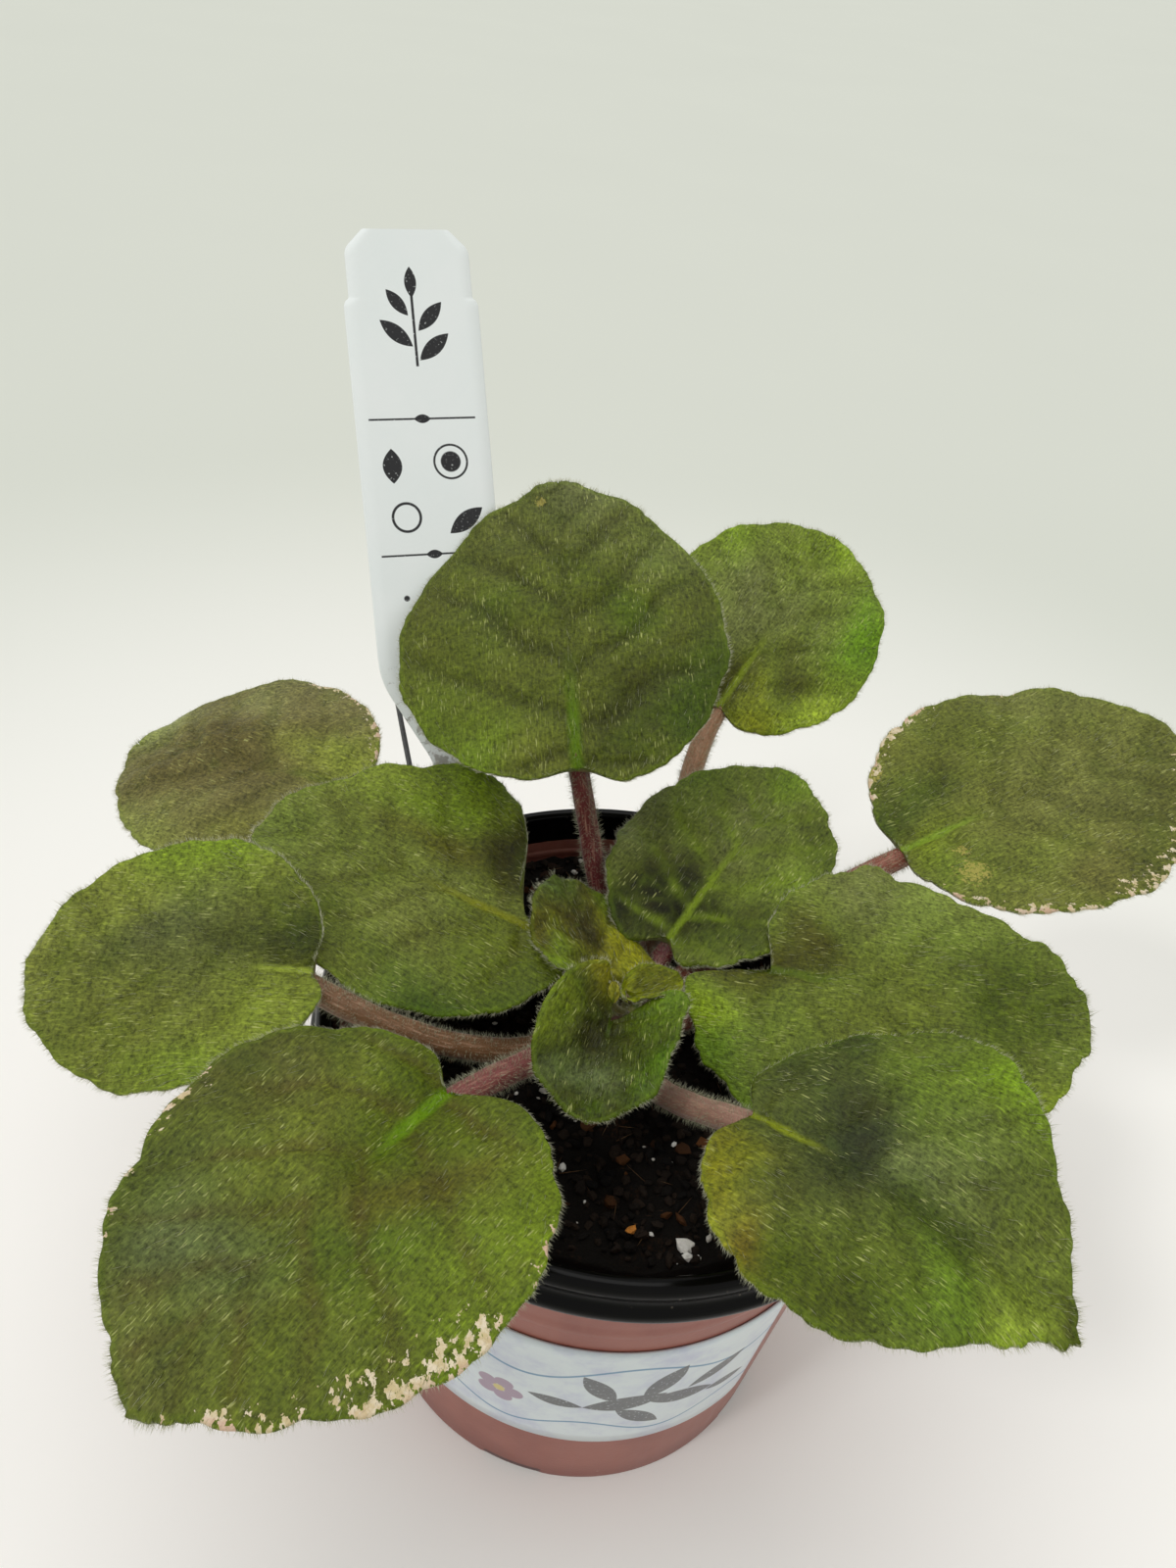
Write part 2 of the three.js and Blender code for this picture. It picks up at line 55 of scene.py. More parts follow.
# Sizes in millimetres and turns in degrees. The large forms have the solids' sizes, and only thin edges,
# the label's film and the shallow press of the drains are given apart. A printed leaf is (across, up,
# length, width, turn), and a bit on the mix is (x, y, size). GAP is the play between two pieces.
GAP = 0.3
POT = SimpleNamespace(
    height=91.5, base_radius=41, neck_radius=47.5, neck_height=84, wall=1.2, floor=1.6,
    rim_inner=50, rim_radius=54, lip_drop=7, lip_band=1.5, groove_depth=1.6, groove_above=3.4,
    bead_back=1, bead_drop=1.5, bead_width=1.6, step_top=5, step_bottom=11,
    drains=5, drain_first=-97, drain_width=13, drain_height=1.9, drain_edge=0.4, drain_depth=0.15,
    ring_height=66, ring_depth=0.25, sides=200,
)
LABEL = SimpleNamespace(
    bottom=21, top=60, start=-132, end=-38, thickness=0.35, corner=3.5, off_wall=0.12, rows=14, columns=150,
    leaves=(
        (9, 18, 15, 5.4, 16), (15, 25, 13, 4.8, 62), (19, 17, 14, 4.8, -14), (4, 24, 12, 4.2, 122),
        (12, 11.5, 12, 4.0, -42), (25, 23, 12, 3.8, 34), (-3, 17, 10, 3.2, 168), (29, 14, 9, 3.0, -6),
    ),
    blossom=(-13, 15),
)
SOIL = SimpleNamespace(
    level=84, bumps=0.5, hollow=1.2, hollow_width=14, sides=170, rings=72,
    perlite=(
        (10.2, -38.6, 0.9), (15.5, -39.2, 2.9), (19.0, -36.6, 1.2), (17.6, -40.6, 1.0), (-36.2, -12.4, 4.2),
        (-11.5, -14.5, 3.2), (24, 30, 2.8),
    ),
    chips=((-12.5, -38.5, 4.4), (-9.0, 22.0, 3.6), (7.0, -39.0, 2.6)),
)
CROWN = SimpleNamespace(
    radius=6.5, foot_radius=5.2, top_radius=4.9, foot=68, waist=76, shoulder=89, top=92.5, sides=72,
)
TAG = SimpleNamespace(
    x=-35, y=25, lean_back=36, lean_left=18, turn=24, width=25, head_width=23, tail_width=7,
    thickness=0.8, top=125, shoulder=112, taper_top=43, taper_end=26, buried=22, point=6,
    notch=0.8, corner=3.5,
    leaves=(
        (0, 91, 3.2, 1.6, 0), (0, 66, 3.2, 1.6, 0), (3.4, 104, 7.5, 2.8, 40), (-3.4, 106.5, 7.5, 2.8, 140),
        (3.1, 109.5, 7, 2.6, 48), (-2.8, 112, 6, 2.3, 128), (0, 115.6, 5.6, 2.2, 90),
        (-6.4, 82.5, 6.4, 3.6, 90), (6.6, 72, 8, 3.2, 35),
    ),
)
STICK = SimpleNamespace(width=1.1, base=(-38, 17, 84), top=(-55, 42.5, 117), buried=20)

# A stalk runs on under its blade by reach_under, but by no more than most_under of the blade's length.
STALK = SimpleNamespace(reach_under=4, most_under=0.12, sides=28, steps=44)

# A blade's relief is given for one of the usual length, and its scallops and nicks as shares of its
# width. many and few are the rows, columns and columns below of a usual and a small blade's mesh.
BLADE = SimpleNamespace(
    thickness=1.3, edge=0.9, vein_rise=1.5, tip_share=0.08, lift_reach=0.6, crease=1.4, usual_length=55,
    small=30, many=(112, 76, 14), few=(56, 40, 12),
    scallop_depth=0.011, scallop_middle=0.6, scallop_uneven=0.45, scallop_fade=0.04, scallops_from=0.06,
    scallops_to=0.99, nicks=21, nick_depth=0.006,
    sway=0.42, sway_size=18, lump=0.14, lump_size=4, puff=0.42, puff_reach=2.6, ridge_width=1.5,
    midrib_sink=0.4, midrib_width=1.2, vein_sink=0.28, vein_width=1.3, vein_ridge=0.35,
    net_sink=0.13, net_size=5.2, net_width=0.5,
)

# Hairs to a square millimetre of blade or stalk and to a millimetre of edge, with their shortest and
# longest, how far they stand up, and their radius at the root.
HAIR = SimpleNamespace(
    density=2.2, under_density=0.4, edge_density=13.0, stalk_density=5.0, root_depth=0.1,
    length=(0.6, 1.2), rise=(0.25, 0.6), radius=0.022,
    long_length=(1.5, 2.7), long_rise=(0.12, 0.3), long_radius=0.055,
    edge_length=(0.5, 1.3), stalk_length=(0.5, 1.4), edge_radius=0.036,
)

# The camera looks at the middle of the rim. Its turns are in radians and its clip distances in metres.
CAMERA = SimpleNamespace(
    distance=212.14, target_height=85.0, elevation=0.8564, roll=-0.2053, pan=-0.0693, tilt=-0.1921,
    lens=27, sensor=36, nearest=0.01, farthest=60,
)

# Colours as they look on the screen, 0 to 255.
OLIVE = (84, 91, 24)
LEAF_GREEN = (90, 120, 10)
LIME = (114, 143, 16)
YELLOW = (122, 126, 14)
BROWN = (64, 58, 18)
DARK = (50, 54, 16)
RUSSET = (80, 70, 26)
LEAF_SHADOW = (26, 32, 6)
HAIR_GLINT = (190, 194, 120)
CREAM = (226, 212, 184)
STRAW = (178, 166, 84)
TAN = (170, 134, 72)
MAROON = (92, 26, 28)
RED_BROWN = (132, 72, 54)
DUSTY_PINK = (126, 66, 62)
TAN_STALK = (154, 112, 78)
BROWN_STALK = (108, 74, 42)

# A leaf whose row doesn't say otherwise. light scales its colour, contrast is how strongly its dark and
# light patches stand out, fuzz scales how many hairs it has and deep how deep its scallops are. An ear
# is (side, middle along the edge, wider share, drawn back, reach).
LEAF = dict(
    widest=0.42, lobe_left=0.1, lobe_right=0.1, notch_left=0.09, notch_right=0.09, point=0.32,
    tip=0, skew=0, sweep=0, roll=0, fold=8, curl=-12, bend=12, lift_left=0, lift_right=0,
    stalk=2.1, tier=87.5, root=7.3, arch=4, swing=0, reach=0.3, settle=0.3, bearing=None,
    scallops=8, tone=OLIVE, patches=(), vein=DARK, vein_strength=0.2, rib=LEAF_GREEN, rib_reach=0.38,
    rib_width=0.8, rib_strength=0.9, quilt=0.8, ruffle=0.5, flecks=(), scars=(),
    stalk_tone=RED_BROWN, fuzz=1.0, light=1.1, rough=0.36, ears=(), deep=1.0, contrast=0.5,
)

# A patch is (across, along, size, colour, strength): across runs from -1, the left edge as seen from
# the stalk, to 1, and along from the stalk, 0, to the tip, 1. Flecks are (side, from, to, reach, strength)
# along an edge. A scar is (across, along, size, strength).
# The patches are partly each blade's own tone and partly painted light and shade; the greyish ones are
# painted sheen, the soft grey reflection off the hairy top.
LEAVES = [
    dict(
        name="back_centre",
        base=(-16, 20, 124), heading=109, pitch=33, roll=-15, length=60, width=61, lobe_left=0.04,
        lobe_right=0.08, point=0.4, skew=-0.06, fold=-3, bend=11, quilt=1.15,
        stalk=1.9, tier=89, bearing=108, arch=-2, reach=0.55, settle=0.1, stalk_tone=MAROON,
        tone=(78, 86, 26), light=1.12, vein=(42, 42, 14), vein_strength=0.46,
        patches=(
            (0.15, 1.04, 0.24, (100, 106, 66), 0.9), (0.85, 0.78, 0.2, (96, 106, 52), 0.8),
            (0.85, 0.14, 0.25, (56, 76, 12), 0.85), (0.3, 0.22, 0.16, (58, 64, 10), 0.7),
            (-0.85, 0.0, 0.28, (94, 116, 24), 0.95), (-0.3, -0.02, 0.15, (92, 98, 36), 0.7),
            (0.28, 0.55, 0.12, (66, 86, 6), 0.7), (-0.35, 0.55, 0.15, (70, 86, 18), 0.5),
            (-0.5, 0.8, 0.16, (84, 88, 44), 0.5),
        ),
        scars=(
            (-0.12, 0.93, 1.5, 0.7), (-0.16, 0.72, 1.2, 0.35),
        ),
    ),
    dict(
        name="back_right",
        base=(7, 71, 108), heading=65, pitch=28, roll=18, length=54, width=48, lobe_left=0.1,
        lobe_right=0.06, point=0.22, skew=-0.03, fold=10, bend=10,
        tier=86.5, bearing=80, arch=2, stalk_tone=TAN_STALK,
        tone=(90, 104, 32), light=1.53, contrast=0.85, rib=(132, 150, 30), rib_reach=0.46, rib_width=0.6,
        patches=(
            (-0.3, 0.48, 0.3, (88, 94, 52), 0.95), (0.95, 0.6, 0.26, (82, 114, 18), 0.95),
            (0.1, 1.02, 0.2, (106, 130, 24), 0.8), (-0.25, 0.06, 0.18, (66, 60, 0), 0.95),
            (0.4, 0.3, 0.18, (70, 74, 16), 0.7), (0.85, 0.0, 0.24, (114, 130, 34), 0.95),
            (0.25, 0.0, 0.12, (110, 114, 20), 0.8), (-0.95, 0.75, 0.2, (96, 120, 22), 0.8),
            (0.35, 0.6, 0.16, (84, 94, 40), 0.6),
        ),
        scars=(
            (-0.9, 0.8, 2.2, 0.8), (0.25, 0.72, 0.9, 0.4),
        ),
    ),
    dict(
        name="far_right",
        base=(47, 45, 100), heading=31, pitch=18, roll=5, length=66, width=59, lobe_left=0.04,
        lobe_right=0.04, fold=7, bend=6, lift_left=8, lift_right=8, deep=1.3,
        tier=88.5, bearing=47, arch=5, stalk_tone=RED_BROWN,
        tone=(92, 97, 42), light=1.34, rib=(128, 156, 40), rib_reach=0.34, rib_width=0.5,
        patches=(
            (-0.3, 0.05, 0.14, (58, 78, 14), 0.8), (0.1, 0.1, 0.1, (106, 120, 28), 0.8),
            (0.35, 0.14, 0.16, (90, 106, 30), 0.6), (-0.9, 0.0, 0.14, (140, 132, 56), 0.8),
            (-0.85, 0.7, 0.18, (98, 102, 56), 0.6), (0.5, 0.72, 0.24, (76, 78, 34), 0.7),
            (-0.55, 0.35, 0.24, (80, 88, 26), 0.7), (0.0, 0.6, 0.2, (94, 96, 50), 0.6),
            (0.7, 0.4, 0.18, (92, 88, 44), 0.5),
        ),
        flecks=(
            (-1, 0.1, 0.5, 4.6, 0.95), (1, 0.12, 0.5, 3.6, 0.85), (1, 0.46, 0.75, 6.5, 0.9),
            (1, 0.62, 0.98, 9.0, 1.05), (-1, 0.5, 0.8, 2.0, 0.6),
        ),
        scars=(
            (-0.86, 0.1, 2.4, 0.95), (-0.6, 0.06, 3.2, 0.62), (0.42, 0.12, 4.8, 0.62),
            (0.22, 0.14, 2.4, 0.6),
        ),
    ),
    dict(
        name="far_left",
        base=(-64, 34, 98), heading=163, pitch=-6, roll=-13, length=57, width=52, fold=4, curl=-15,
        bend=19,
        bearing=163, arch=6, swing=-4, stalk_tone=TAN_STALK,
        tone=(94, 90, 54), light=1.44, rib_reach=0.3, rib_strength=0.25,
        patches=(
            (0.1, 1.02, 0.2, (120, 128, 76), 0.9), (-0.95, 0.6, 0.24, (112, 120, 58), 0.8),
            (0.2, 0.02, 0.22, (116, 126, 46), 0.9), (0.95, 0.5, 0.2, (110, 110, 70), 0.7),
            (0.1, 0.5, 0.32, (82, 74, 38), 0.85), (-0.6, 0.2, 0.16, (92, 96, 30), 0.5),
        ),
        flecks=(
            (1, 0.06, 0.56, 3.4, 0.9), (1, 0.1, 0.3, 5.0, 0.75),
        ),
        scars=((0.8, -0.02, 2.4, 0.7),),
    ),
    dict(
        name="left",
        base=(-50, -17, 102), heading=186, pitch=-4, roll=-21, length=49, width=44, lobe_left=0.07,
        lobe_right=0.04, notch_left=0.07, notch_right=0.11, point=0.31, fold=8, curl=-9, bend=12,
        lift_left=14, lift_right=8,
        tier=86, bearing=203, arch=-1, swing=-9.5, stalk_tone=BROWN_STALK,
        tone=(92, 100, 38), light=1.32, fuzz=1.5, vein_strength=0.12, rib=(150, 166, 56), rib_reach=0.26,
        rib_width=0.5,
        patches=(
            (0.95, 0.45, 0.24, (108, 130, 30), 0.9), (-0.5, 0.02, 0.24, (104, 116, 38), 0.85),
            (-0.85, 0.3, 0.2, (98, 116, 32), 0.75), (0.2, 0.45, 0.24, (80, 86, 48), 0.85),
            (0.3, 0.12, 0.16, (54, 62, 10), 0.9), (0.95, 0.85, 0.22, (124, 134, 52), 0.9),
            (0.0, 1.02, 0.16, (118, 124, 56), 0.8), (-0.4, 0.6, 0.2, (84, 90, 30), 0.6),
            (0.45, 0.72, 0.16, (104, 112, 46), 0.6),
        ),
    ),
    dict(
        name="inner_left",
        base=(-18, 3, 101), heading=164, pitch=2, roll=-7, length=57, width=51, lobe_left=0.16,
        lobe_right=-0.1, notch_left=0.05, notch_right=0.05, skew=-0.03, fold=10.5, curl=1, bend=8,
        lift_left=-18, lift_right=5,
        tier=91.5, arch=2, stalk_tone=MAROON,
        tone=(84, 93, 34), light=1.36, vein=BROWN, vein_strength=0.28, rib=YELLOW, rib_reach=0.45,
        rib_width=0.5,
        patches=(
            (0.9, 0.82, 0.24, (112, 126, 44), 0.9), (0.9, 0.5, 0.2, (92, 112, 18), 0.95),
            (0.5, 0.17, 0.2, (46, 44, 2), 0.95), (-0.95, 0.06, 0.27, (46, 76, 0), 0.95),
            (-0.35, 0.02, 0.14, (74, 84, 6), 0.6), (0.3, 0.45, 0.13, (78, 74, 12), 0.6),
            (-0.3, 0.3, 0.18, (92, 98, 46), 0.6), (0.0, 0.98, 0.2, (96, 110, 46), 0.8),
            (-0.6, 0.62, 0.18, (70, 80, 16), 0.7), (0.9, 0.28, 0.1, (106, 128, 24), 0.8),
        ),
    ),
    dict(
        name="inner_right",
        base=(5, 10, 98), heading=66, pitch=15, roll=4, length=47.5, width=39.5, widest=0.43,
        lobe_left=0.15, lobe_right=0.08, notch_left=0.11, notch_right=0.06, point=0.3, skew=-0.02, fold=6,
        curl=-17, bend=6, lift_left=15, lift_right=8, deep=1.5,
        stalk=1.8, tier=92.5, arch=0, stalk_tone=MAROON,
        tone=(84, 95, 34), light=1.08, contrast=1.05, vein=(118, 140, 30), vein_strength=0.6,
        rib=(120, 142, 24), rib_reach=0.66, rib_width=0.6,
        patches=(
            (-0.25, 0.14, 0.28, (36, 32, 4), 0.95), (0.25, 0.18, 0.15, (50, 58, 4), 0.9),
            (-0.95, 0.35, 0.2, (92, 98, 56), 0.8), (0.1, 1.0, 0.2, (90, 114, 24), 0.9),
            (-0.9, 0.78, 0.2, (82, 104, 18), 0.95), (0.85, 0.4, 0.2, (100, 120, 36), 0.9),
            (0.85, 0.02, 0.17, (90, 106, 26), 0.8), (0.0, 0.58, 0.22, (86, 92, 48), 0.8),
            (0.6, 0.75, 0.16, (70, 82, 18), 0.6),
        ),
    ),
    dict(
        name="right",
        base=(23, 6, 100), heading=-4, pitch=6, roll=6, length=52, width=57, widest=0.38, lobe_left=0.06,
        lobe_right=0.28, notch_left=0.11, notch_right=0.04, point=0.15, skew=0.06, fold=3, curl=-18,
        bend=-2, lift_left=13, lift_right=-14, deep=1.9,
        tier=86, bearing=8, arch=2,
        tone=(84, 96, 34), light=1.42, contrast=0.75, rib=(92, 116, 22), rib_reach=0.3, rib_width=0.6,
        rib_strength=0.6,
        patches=(
            (0.8, -0.2, 0.24, (84, 114, 24), 0.9), (0.3, -0.24, 0.16, (106, 126, 22), 0.9),
            (-0.15, 0.02, 0.14, (66, 62, 6), 0.8), (-0.9, 0.05, 0.2, (104, 118, 44), 0.9),
            (-0.75, 0.3, 0.2, (88, 90, 54), 0.7), (-0.95, 0.6, 0.22, (104, 118, 54), 0.8),
            (0.9, 0.85, 0.2, (106, 122, 28), 0.8), (-0.1, 0.78, 0.22, (66, 80, 8), 0.8),
            (0.1, 0.35, 0.2, (84, 92, 26), 0.6), (0.45, 0.6, 0.14, (82, 96, 16), 0.5),
        ),
    ),
    dict(
        name="front_right",
        base=(21, -28, 104), heading=-29, pitch=14, roll=4, length=48, width=52, lobe_left=0.1,
        lobe_right=0.07, notch_left=0.08, notch_right=0.09, point=0.45, tip=2.5, skew=-0.03, sweep=5,
        fold=13, curl=-10, bend=13, lift_left=-14,
        ears=((-1, 0.5, 0.13, 0, 0.2), (1, 0.84, -0.32, 0, 0.13)), deep=1.5,
        tier=86, bearing=-72, arch=0, stalk_tone=(150, 112, 96),
        tone=(76, 86, 30), light=1.38, contrast=1.0, fuzz=1.3, rib=(142, 154, 16), rib_reach=0.32,
        rib_width=0.6, rib_strength=0.75,
        patches=(
            (0.9, 0.1, 0.26, (110, 112, 30), 0.9), (0.38, 0.02, 0.16, (98, 96, 14), 0.9),
            (-0.2, 0.3, 0.3, (50, 58, 32), 0.95), (-0.95, 0.0, 0.2, (46, 66, 18), 0.8),
            (-1.0, 0.62, 0.26, (88, 112, 18), 0.95), (0.45, 0.72, 0.17, (78, 102, 20), 0.8),
            (0.2, 0.95, 0.16, (102, 118, 34), 0.9), (-0.25, 0.56, 0.16, (84, 94, 52), 0.8),
            (0.8, 0.5, 0.16, (66, 78, 2), 0.8), (0.1, 0.62, 0.12, (56, 72, 6), 0.7),
            (0.0, 1.03, 0.06, (56, 62, 10), 0.9), (0.7, 0.3, 0.12, (86, 70, 8), 0.7),
        ),
        scars=((-0.72, 0.84, 1.4, 0.9),),
    ),
    dict(
        name="front_left",
        base=(-23.5, -33, 100.5), heading=243, pitch=7, roll=5, length=55.5, width=59.5, widest=0.41,
        lobe_left=0.12, lobe_right=0.09, notch_left=0.11, notch_right=0.07, point=0.32, tip=2, skew=-0.03,
        sweep=-1, fold=6, curl=-11, bend=16, lift_left=2, lift_right=8,
        tier=88.7, arch=3, stalk_tone=DUSTY_PINK,
        tone=(84, 94, 30), light=1.12, vein=(86, 64, 30), vein_strength=0.36, rib=(104, 144, 0),
        rib_reach=0.34, rib_width=0.9, rib_strength=0.8,
        patches=(
            (0.3, 0.72, 0.2, (84, 94, 58), 0.9), (0.0, 0.04, 0.18, (72, 86, 0), 0.9),
            (-0.9, 0.08, 0.24, (96, 114, 22), 0.95), (0.85, 0.3, 0.2, (76, 78, 34), 0.8),
            (0.4, 0.3, 0.16, (96, 104, 34), 0.6), (-0.35, 0.55, 0.2, (70, 90, 14), 0.7),
            (0.6, -0.02, 0.15, (70, 88, 8), 0.8), (-0.3, 0.3, 0.14, (82, 72, 14), 0.5),
            (0.7, 0.85, 0.2, (72, 84, 24), 0.7), (-0.9, 0.45, 0.2, (92, 110, 22), 0.8),
            (0.1, 1.0, 0.14, (86, 90, 44), 0.7),
        ),
        flecks=(
            (1, 0.42, 0.62, 4.0, 0.85), (1, 0.58, 0.8, 3.0, 0.65), (-1, 0.46, 0.76, 10.0, 0.95),
            (-1, 0.7, 0.92, 4.4, 0.85), (-1, 0.3, 0.5, 3.6, 0.75), (-1, 0.88, 0.98, 2.0, 0.6),
        ),
        scars=((0.42, -0.1, 1.8, 0.8),),
    ),
    dict(
        name="young_front",
        base=(-2, -13, 100), heading=-92, pitch=13, roll=3, length=20.5, width=25, widest=0.34,
        lobe_left=0.25, lobe_right=0.46, notch_left=0.22, notch_right=0.06, fold=19, curl=12, bend=24,
        lift_left=5, lift_right=30, ears=((-1, 0.27, 0.3, 2.4, 0.1),), scallops=6, quilt=1.8, ruffle=0.7,
        stalk=1.4, tier=90.5, arch=1, stalk_tone=MAROON,
        tone=(56, 66, 8), light=1.02, rough=0.26, fuzz=1.5, vein_strength=0.25, rib_reach=0.3,
        rib_strength=0.3,
        patches=(
            (0.5, -0.35, 0.34, (126, 122, 22), 0.9), (-0.9, -0.1, 0.36, (92, 118, 26), 0.85),
            (0.15, 0.2, 0.26, (40, 38, 6), 0.8), (0.1, 0.62, 0.24, (92, 104, 66), 0.75),
            (0.95, 0.3, 0.24, (98, 112, 22), 0.85), (-0.95, 0.6, 0.22, (80, 112, 22), 0.85),
            (0.0, 1.0, 0.14, (74, 98, 24), 0.5),
        ),
    ),
    dict(
        name="young_back",
        base=(-3, -3, 98), heading=128, pitch=20, roll=18, length=23, width=21, lobe_left=0.1,
        lobe_right=0.2, fold=4, curl=-22, bend=9, lift_left=12, lift_right=11,
        ears=((1, 0.25, 0.3, 1.6, 0.12),), scallops=6, quilt=1.8, ruffle=0.9,
        stalk=1.3, tier=94.2, root=2.5, bearing=150, arch=0, stalk_tone=MAROON,
        tone=(70, 68, 6), light=1.16, rough=0.3, fuzz=1.5, vein=(60, 52, 6), vein_strength=0.5,
        rib=(120, 124, 10), rib_strength=0.4,
        patches=(
            (0.55, 0.2, 0.32, (126, 126, 18), 0.95), (-0.85, 0.25, 0.26, (94, 114, 22), 0.85),
            (-0.1, 0.98, 0.3, (70, 88, 34), 0.9), (0.0, 0.5, 0.22, (44, 38, 0), 0.9),
            (0.9, 0.65, 0.2, (82, 106, 18), 0.8),
        ),
    ),
    dict(
        name="bud_right",
        base=(0.2, -8.6, 100.3), heading=36, pitch=16, length=10, width=10, fold=35, lift_left=-18,
        lift_right=38, scallops=4, ruffle=0.5,
        stalk=0.8, tier=93.7, root=2.5, bearing=-45, arch=0, stalk_tone=(120, 120, 60),
        tone=(110, 116, 12), light=1.12, fuzz=2.2, vein_strength=0.1, rib=(176, 172, 84), rib_reach=0.7,
        rib_width=0.5,
        patches=((-0.3, 0.6, 0.4, (82, 84, 8), 0.7),),
    ),
    dict(
        name="bud_left",
        base=(-2.5, -8.3, 100.1), heading=100, pitch=60, length=3.2, width=2.8, fold=50, scallops=4,
        ruffle=0.1,
        stalk=0.7, tier=93.7, root=4.6, bearing=268, arch=0, stalk_tone=(120, 120, 60),
        tone=(120, 116, 40), light=1.7, fuzz=3.0, vein_strength=0.1,
    ),
]


# Materials.

def colour(screen):
    """A screen colour of 0 to 255 as the linear colour that a shader takes."""
    share = np.array(screen) / 255
    linear = np.where(share <= 0.04045, share / 12.92, ((share + 0.055) / 1.055) ** 2.4)
    return (*linear.tolist(), 1.0)


class Wire:
    """A value in a material. Sums with it add the Math nodes."""

    def __init__(self, finish, socket):
        self.finish = finish
        self.socket = socket

    def sum(self, operation, *values):
        return self.finish.node("ShaderNodeMath", dict(enumerate(values)), operation=operation)

    def __add__(self, other):
        return self.sum("ADD", self, other)

    def __sub__(self, other):
        return self.sum("SUBTRACT", self, other)

    def __rsub__(self, other):
        return self.sum("SUBTRACT", other, self)

    def __mul__(self, other):
        return self.sum("MULTIPLY", self, other)

    def __truediv__(self, other):
        return self.sum("DIVIDE", self, other)

    __radd__ = __add__
    __rmul__ = __mul__

    def __abs__(self):
        return self.sum("ABSOLUTE", self)

    def most(self, other):
        return self.sum("MAXIMUM", self, other)

    def sine(self):
        return self.sum("SINE", self)

    def root(self):
        return self.sum("SQRT", self)

    def rise(self, low, high):
        """0 up to low and 1 from high on, with a smooth step between; high below low turns it round."""
        inputs = {"Value": self, "From Min": low, "From Max": high}
        return self.finish.node("ShaderNodeMapRange", inputs, interpolation_type="SMOOTHSTEP")


class Finish:
    """A material in the making round one Principled shader."""

    def __init__(self, name, **constants):
        self.material = bpy.data.materials.new(name)
        self.material.use_nodes = True
        self.tree = self.material.node_tree
        self.shader = self.tree.nodes["Principled BSDF"]
        for label, value in constants.items():
            self.shader.inputs[label.replace("_", " ")].default_value = value

    def node(self, kind, inputs, out=0, **settings):
        """Adds a node, sets it, fills its sockets with values or wires and gives one output."""
        made = self.tree.nodes.new(kind)
        for label, value in settings.items():
            setattr(made, label, value)
        for label, value in inputs.items():
            if isinstance(value, Wire):
                self.tree.links.new(value.socket, made.inputs[label])
            else:
                made.inputs[label].default_value = value
        return Wire(self, made.outputs[out])

    def feed(self, label, wire):
        self.tree.links.new(wire.socket, self.shader.inputs[label])

    def dress(self, tone, rough, height, depth):
        """Feeds the colour, the roughness and a relief whose height of 1 stands depth millimetres tall."""
        self.feed("Base Color", tone)
        self.feed("Roughness", rough)
        relief = {"Height": height, "Distance": depth * MM, "Strength": 1.0}
        self.feed("Normal", self.node("ShaderNodeBump", relief))

    def here(self):
        """The point on the object, in millimetres."""
        place = self.node("ShaderNodeTexCoord", {}, out="Object")
        return self.scaled(place, (1000, 1000, 1000))

    def flat(self):
        """The point on the piece's own flat map, in millimetres."""
        place = self.node("ShaderNodeUVMap", {}, uv_map="flat")
        return self.scaled(place, (FLAT_UNIT, FLAT_UNIT, 0))

    def scaled(self, vector, factors):
        return self.node("ShaderNodeVectorMath", {0: vector, 1: factors}, operation="MULTIPLY")

    def joined(self, x, y):
        """A flat vector from two numbers."""
        return self.node("ShaderNodeCombineXYZ", {"X": x, "Y": y})

    def parts(self, vector):
        """The X, Y and Z of a vector."""
        split = self.node("ShaderNodeSeparateXYZ", {"Vector": vector})
        return [Wire(self, socket) for socket in split.socket.node.outputs]

    def mark(self, name):
        """A number that the mesh carries at each point."""
        return self.node("ShaderNodeAttribute", {}, out="Fac", attribute_name=name)

    def tint(self):
        """The colour that the mesh carries at each point."""
        return self.node("ShaderNodeAttribute", {}, out="Color", attribute_name="tint")

    def noise(self, vector, size, detail=3.0, rough=0.55):
        inputs = {"Vector": vector, "Scale": 1 / size, "Detail": detail, "Roughness": rough}
        return self.node("ShaderNodeTexNoise", inputs)

    def cells(self, vector, size):
        """Distance to the nearest of many scattered points, in cells of the given size."""
        return self.node("ShaderNodeTexVoronoi", {"Vector": vector, "Scale": 1 / size}, out="Distance")

    def mix(self, share, first, second):
        """The first colour where share is 0, the second where it is 1."""
        first, second = (tone if isinstance(tone, Wire) else colour(tone) for tone in (first, second))
        return self.node("ShaderNodeMix", {0: share, 6: first, 7: second}, out=2, data_type="RGBA")

    def shade(self, tone, factor):
        """A colour made lighter or darker by a number near 1."""
        return self.node("ShaderNodeVectorMath", {0: tone, 3: factor}, operation="SCALE")


# Meshes.

def unit(vectors):
    return vectors / np.linalg.norm(vectors, axis=-1, keepdims=True)


def bell(off):
    """1 at 0, falling smoothly towards 0 on either side."""
    return np.exp(-(off ** 2))


def turns(count):
    """Angles all round, evenly spaced from 0."""
    return 2 * np.pi * np.arange(count) / count


def around(radius, turn, height):
    """Points at a radius, a turn round Z and a height."""
    return np.stack(np.broadcast_arrays(radius * np.cos(turn), radius * np.sin(turn), height), -1)


def with_poles(values, first=0.0, last=0.0):
    """The values of a body's rings one after another, between those of its two poles."""
    return np.concatenate([[first], np.ravel(values), [last]])


def waves(x, y, size, seed, count=10):
    """Smooth unevenness of about -1 to 1: sines of about the given length in seeded directions, summed."""
    rng = np.random.default_rng(seed)
    turn = rng.uniform(0, 2 * np.pi, count)
    phase = rng.uniform(0, 2 * np.pi, count)
    length = size * rng.uniform(0.7, 1.6, count)
    along = x[..., None] * np.cos(turn) + y[..., None] * np.sin(turn)
    return np.sin(2 * np.pi * along / length + phase).sum(-1) / math.sqrt(count)


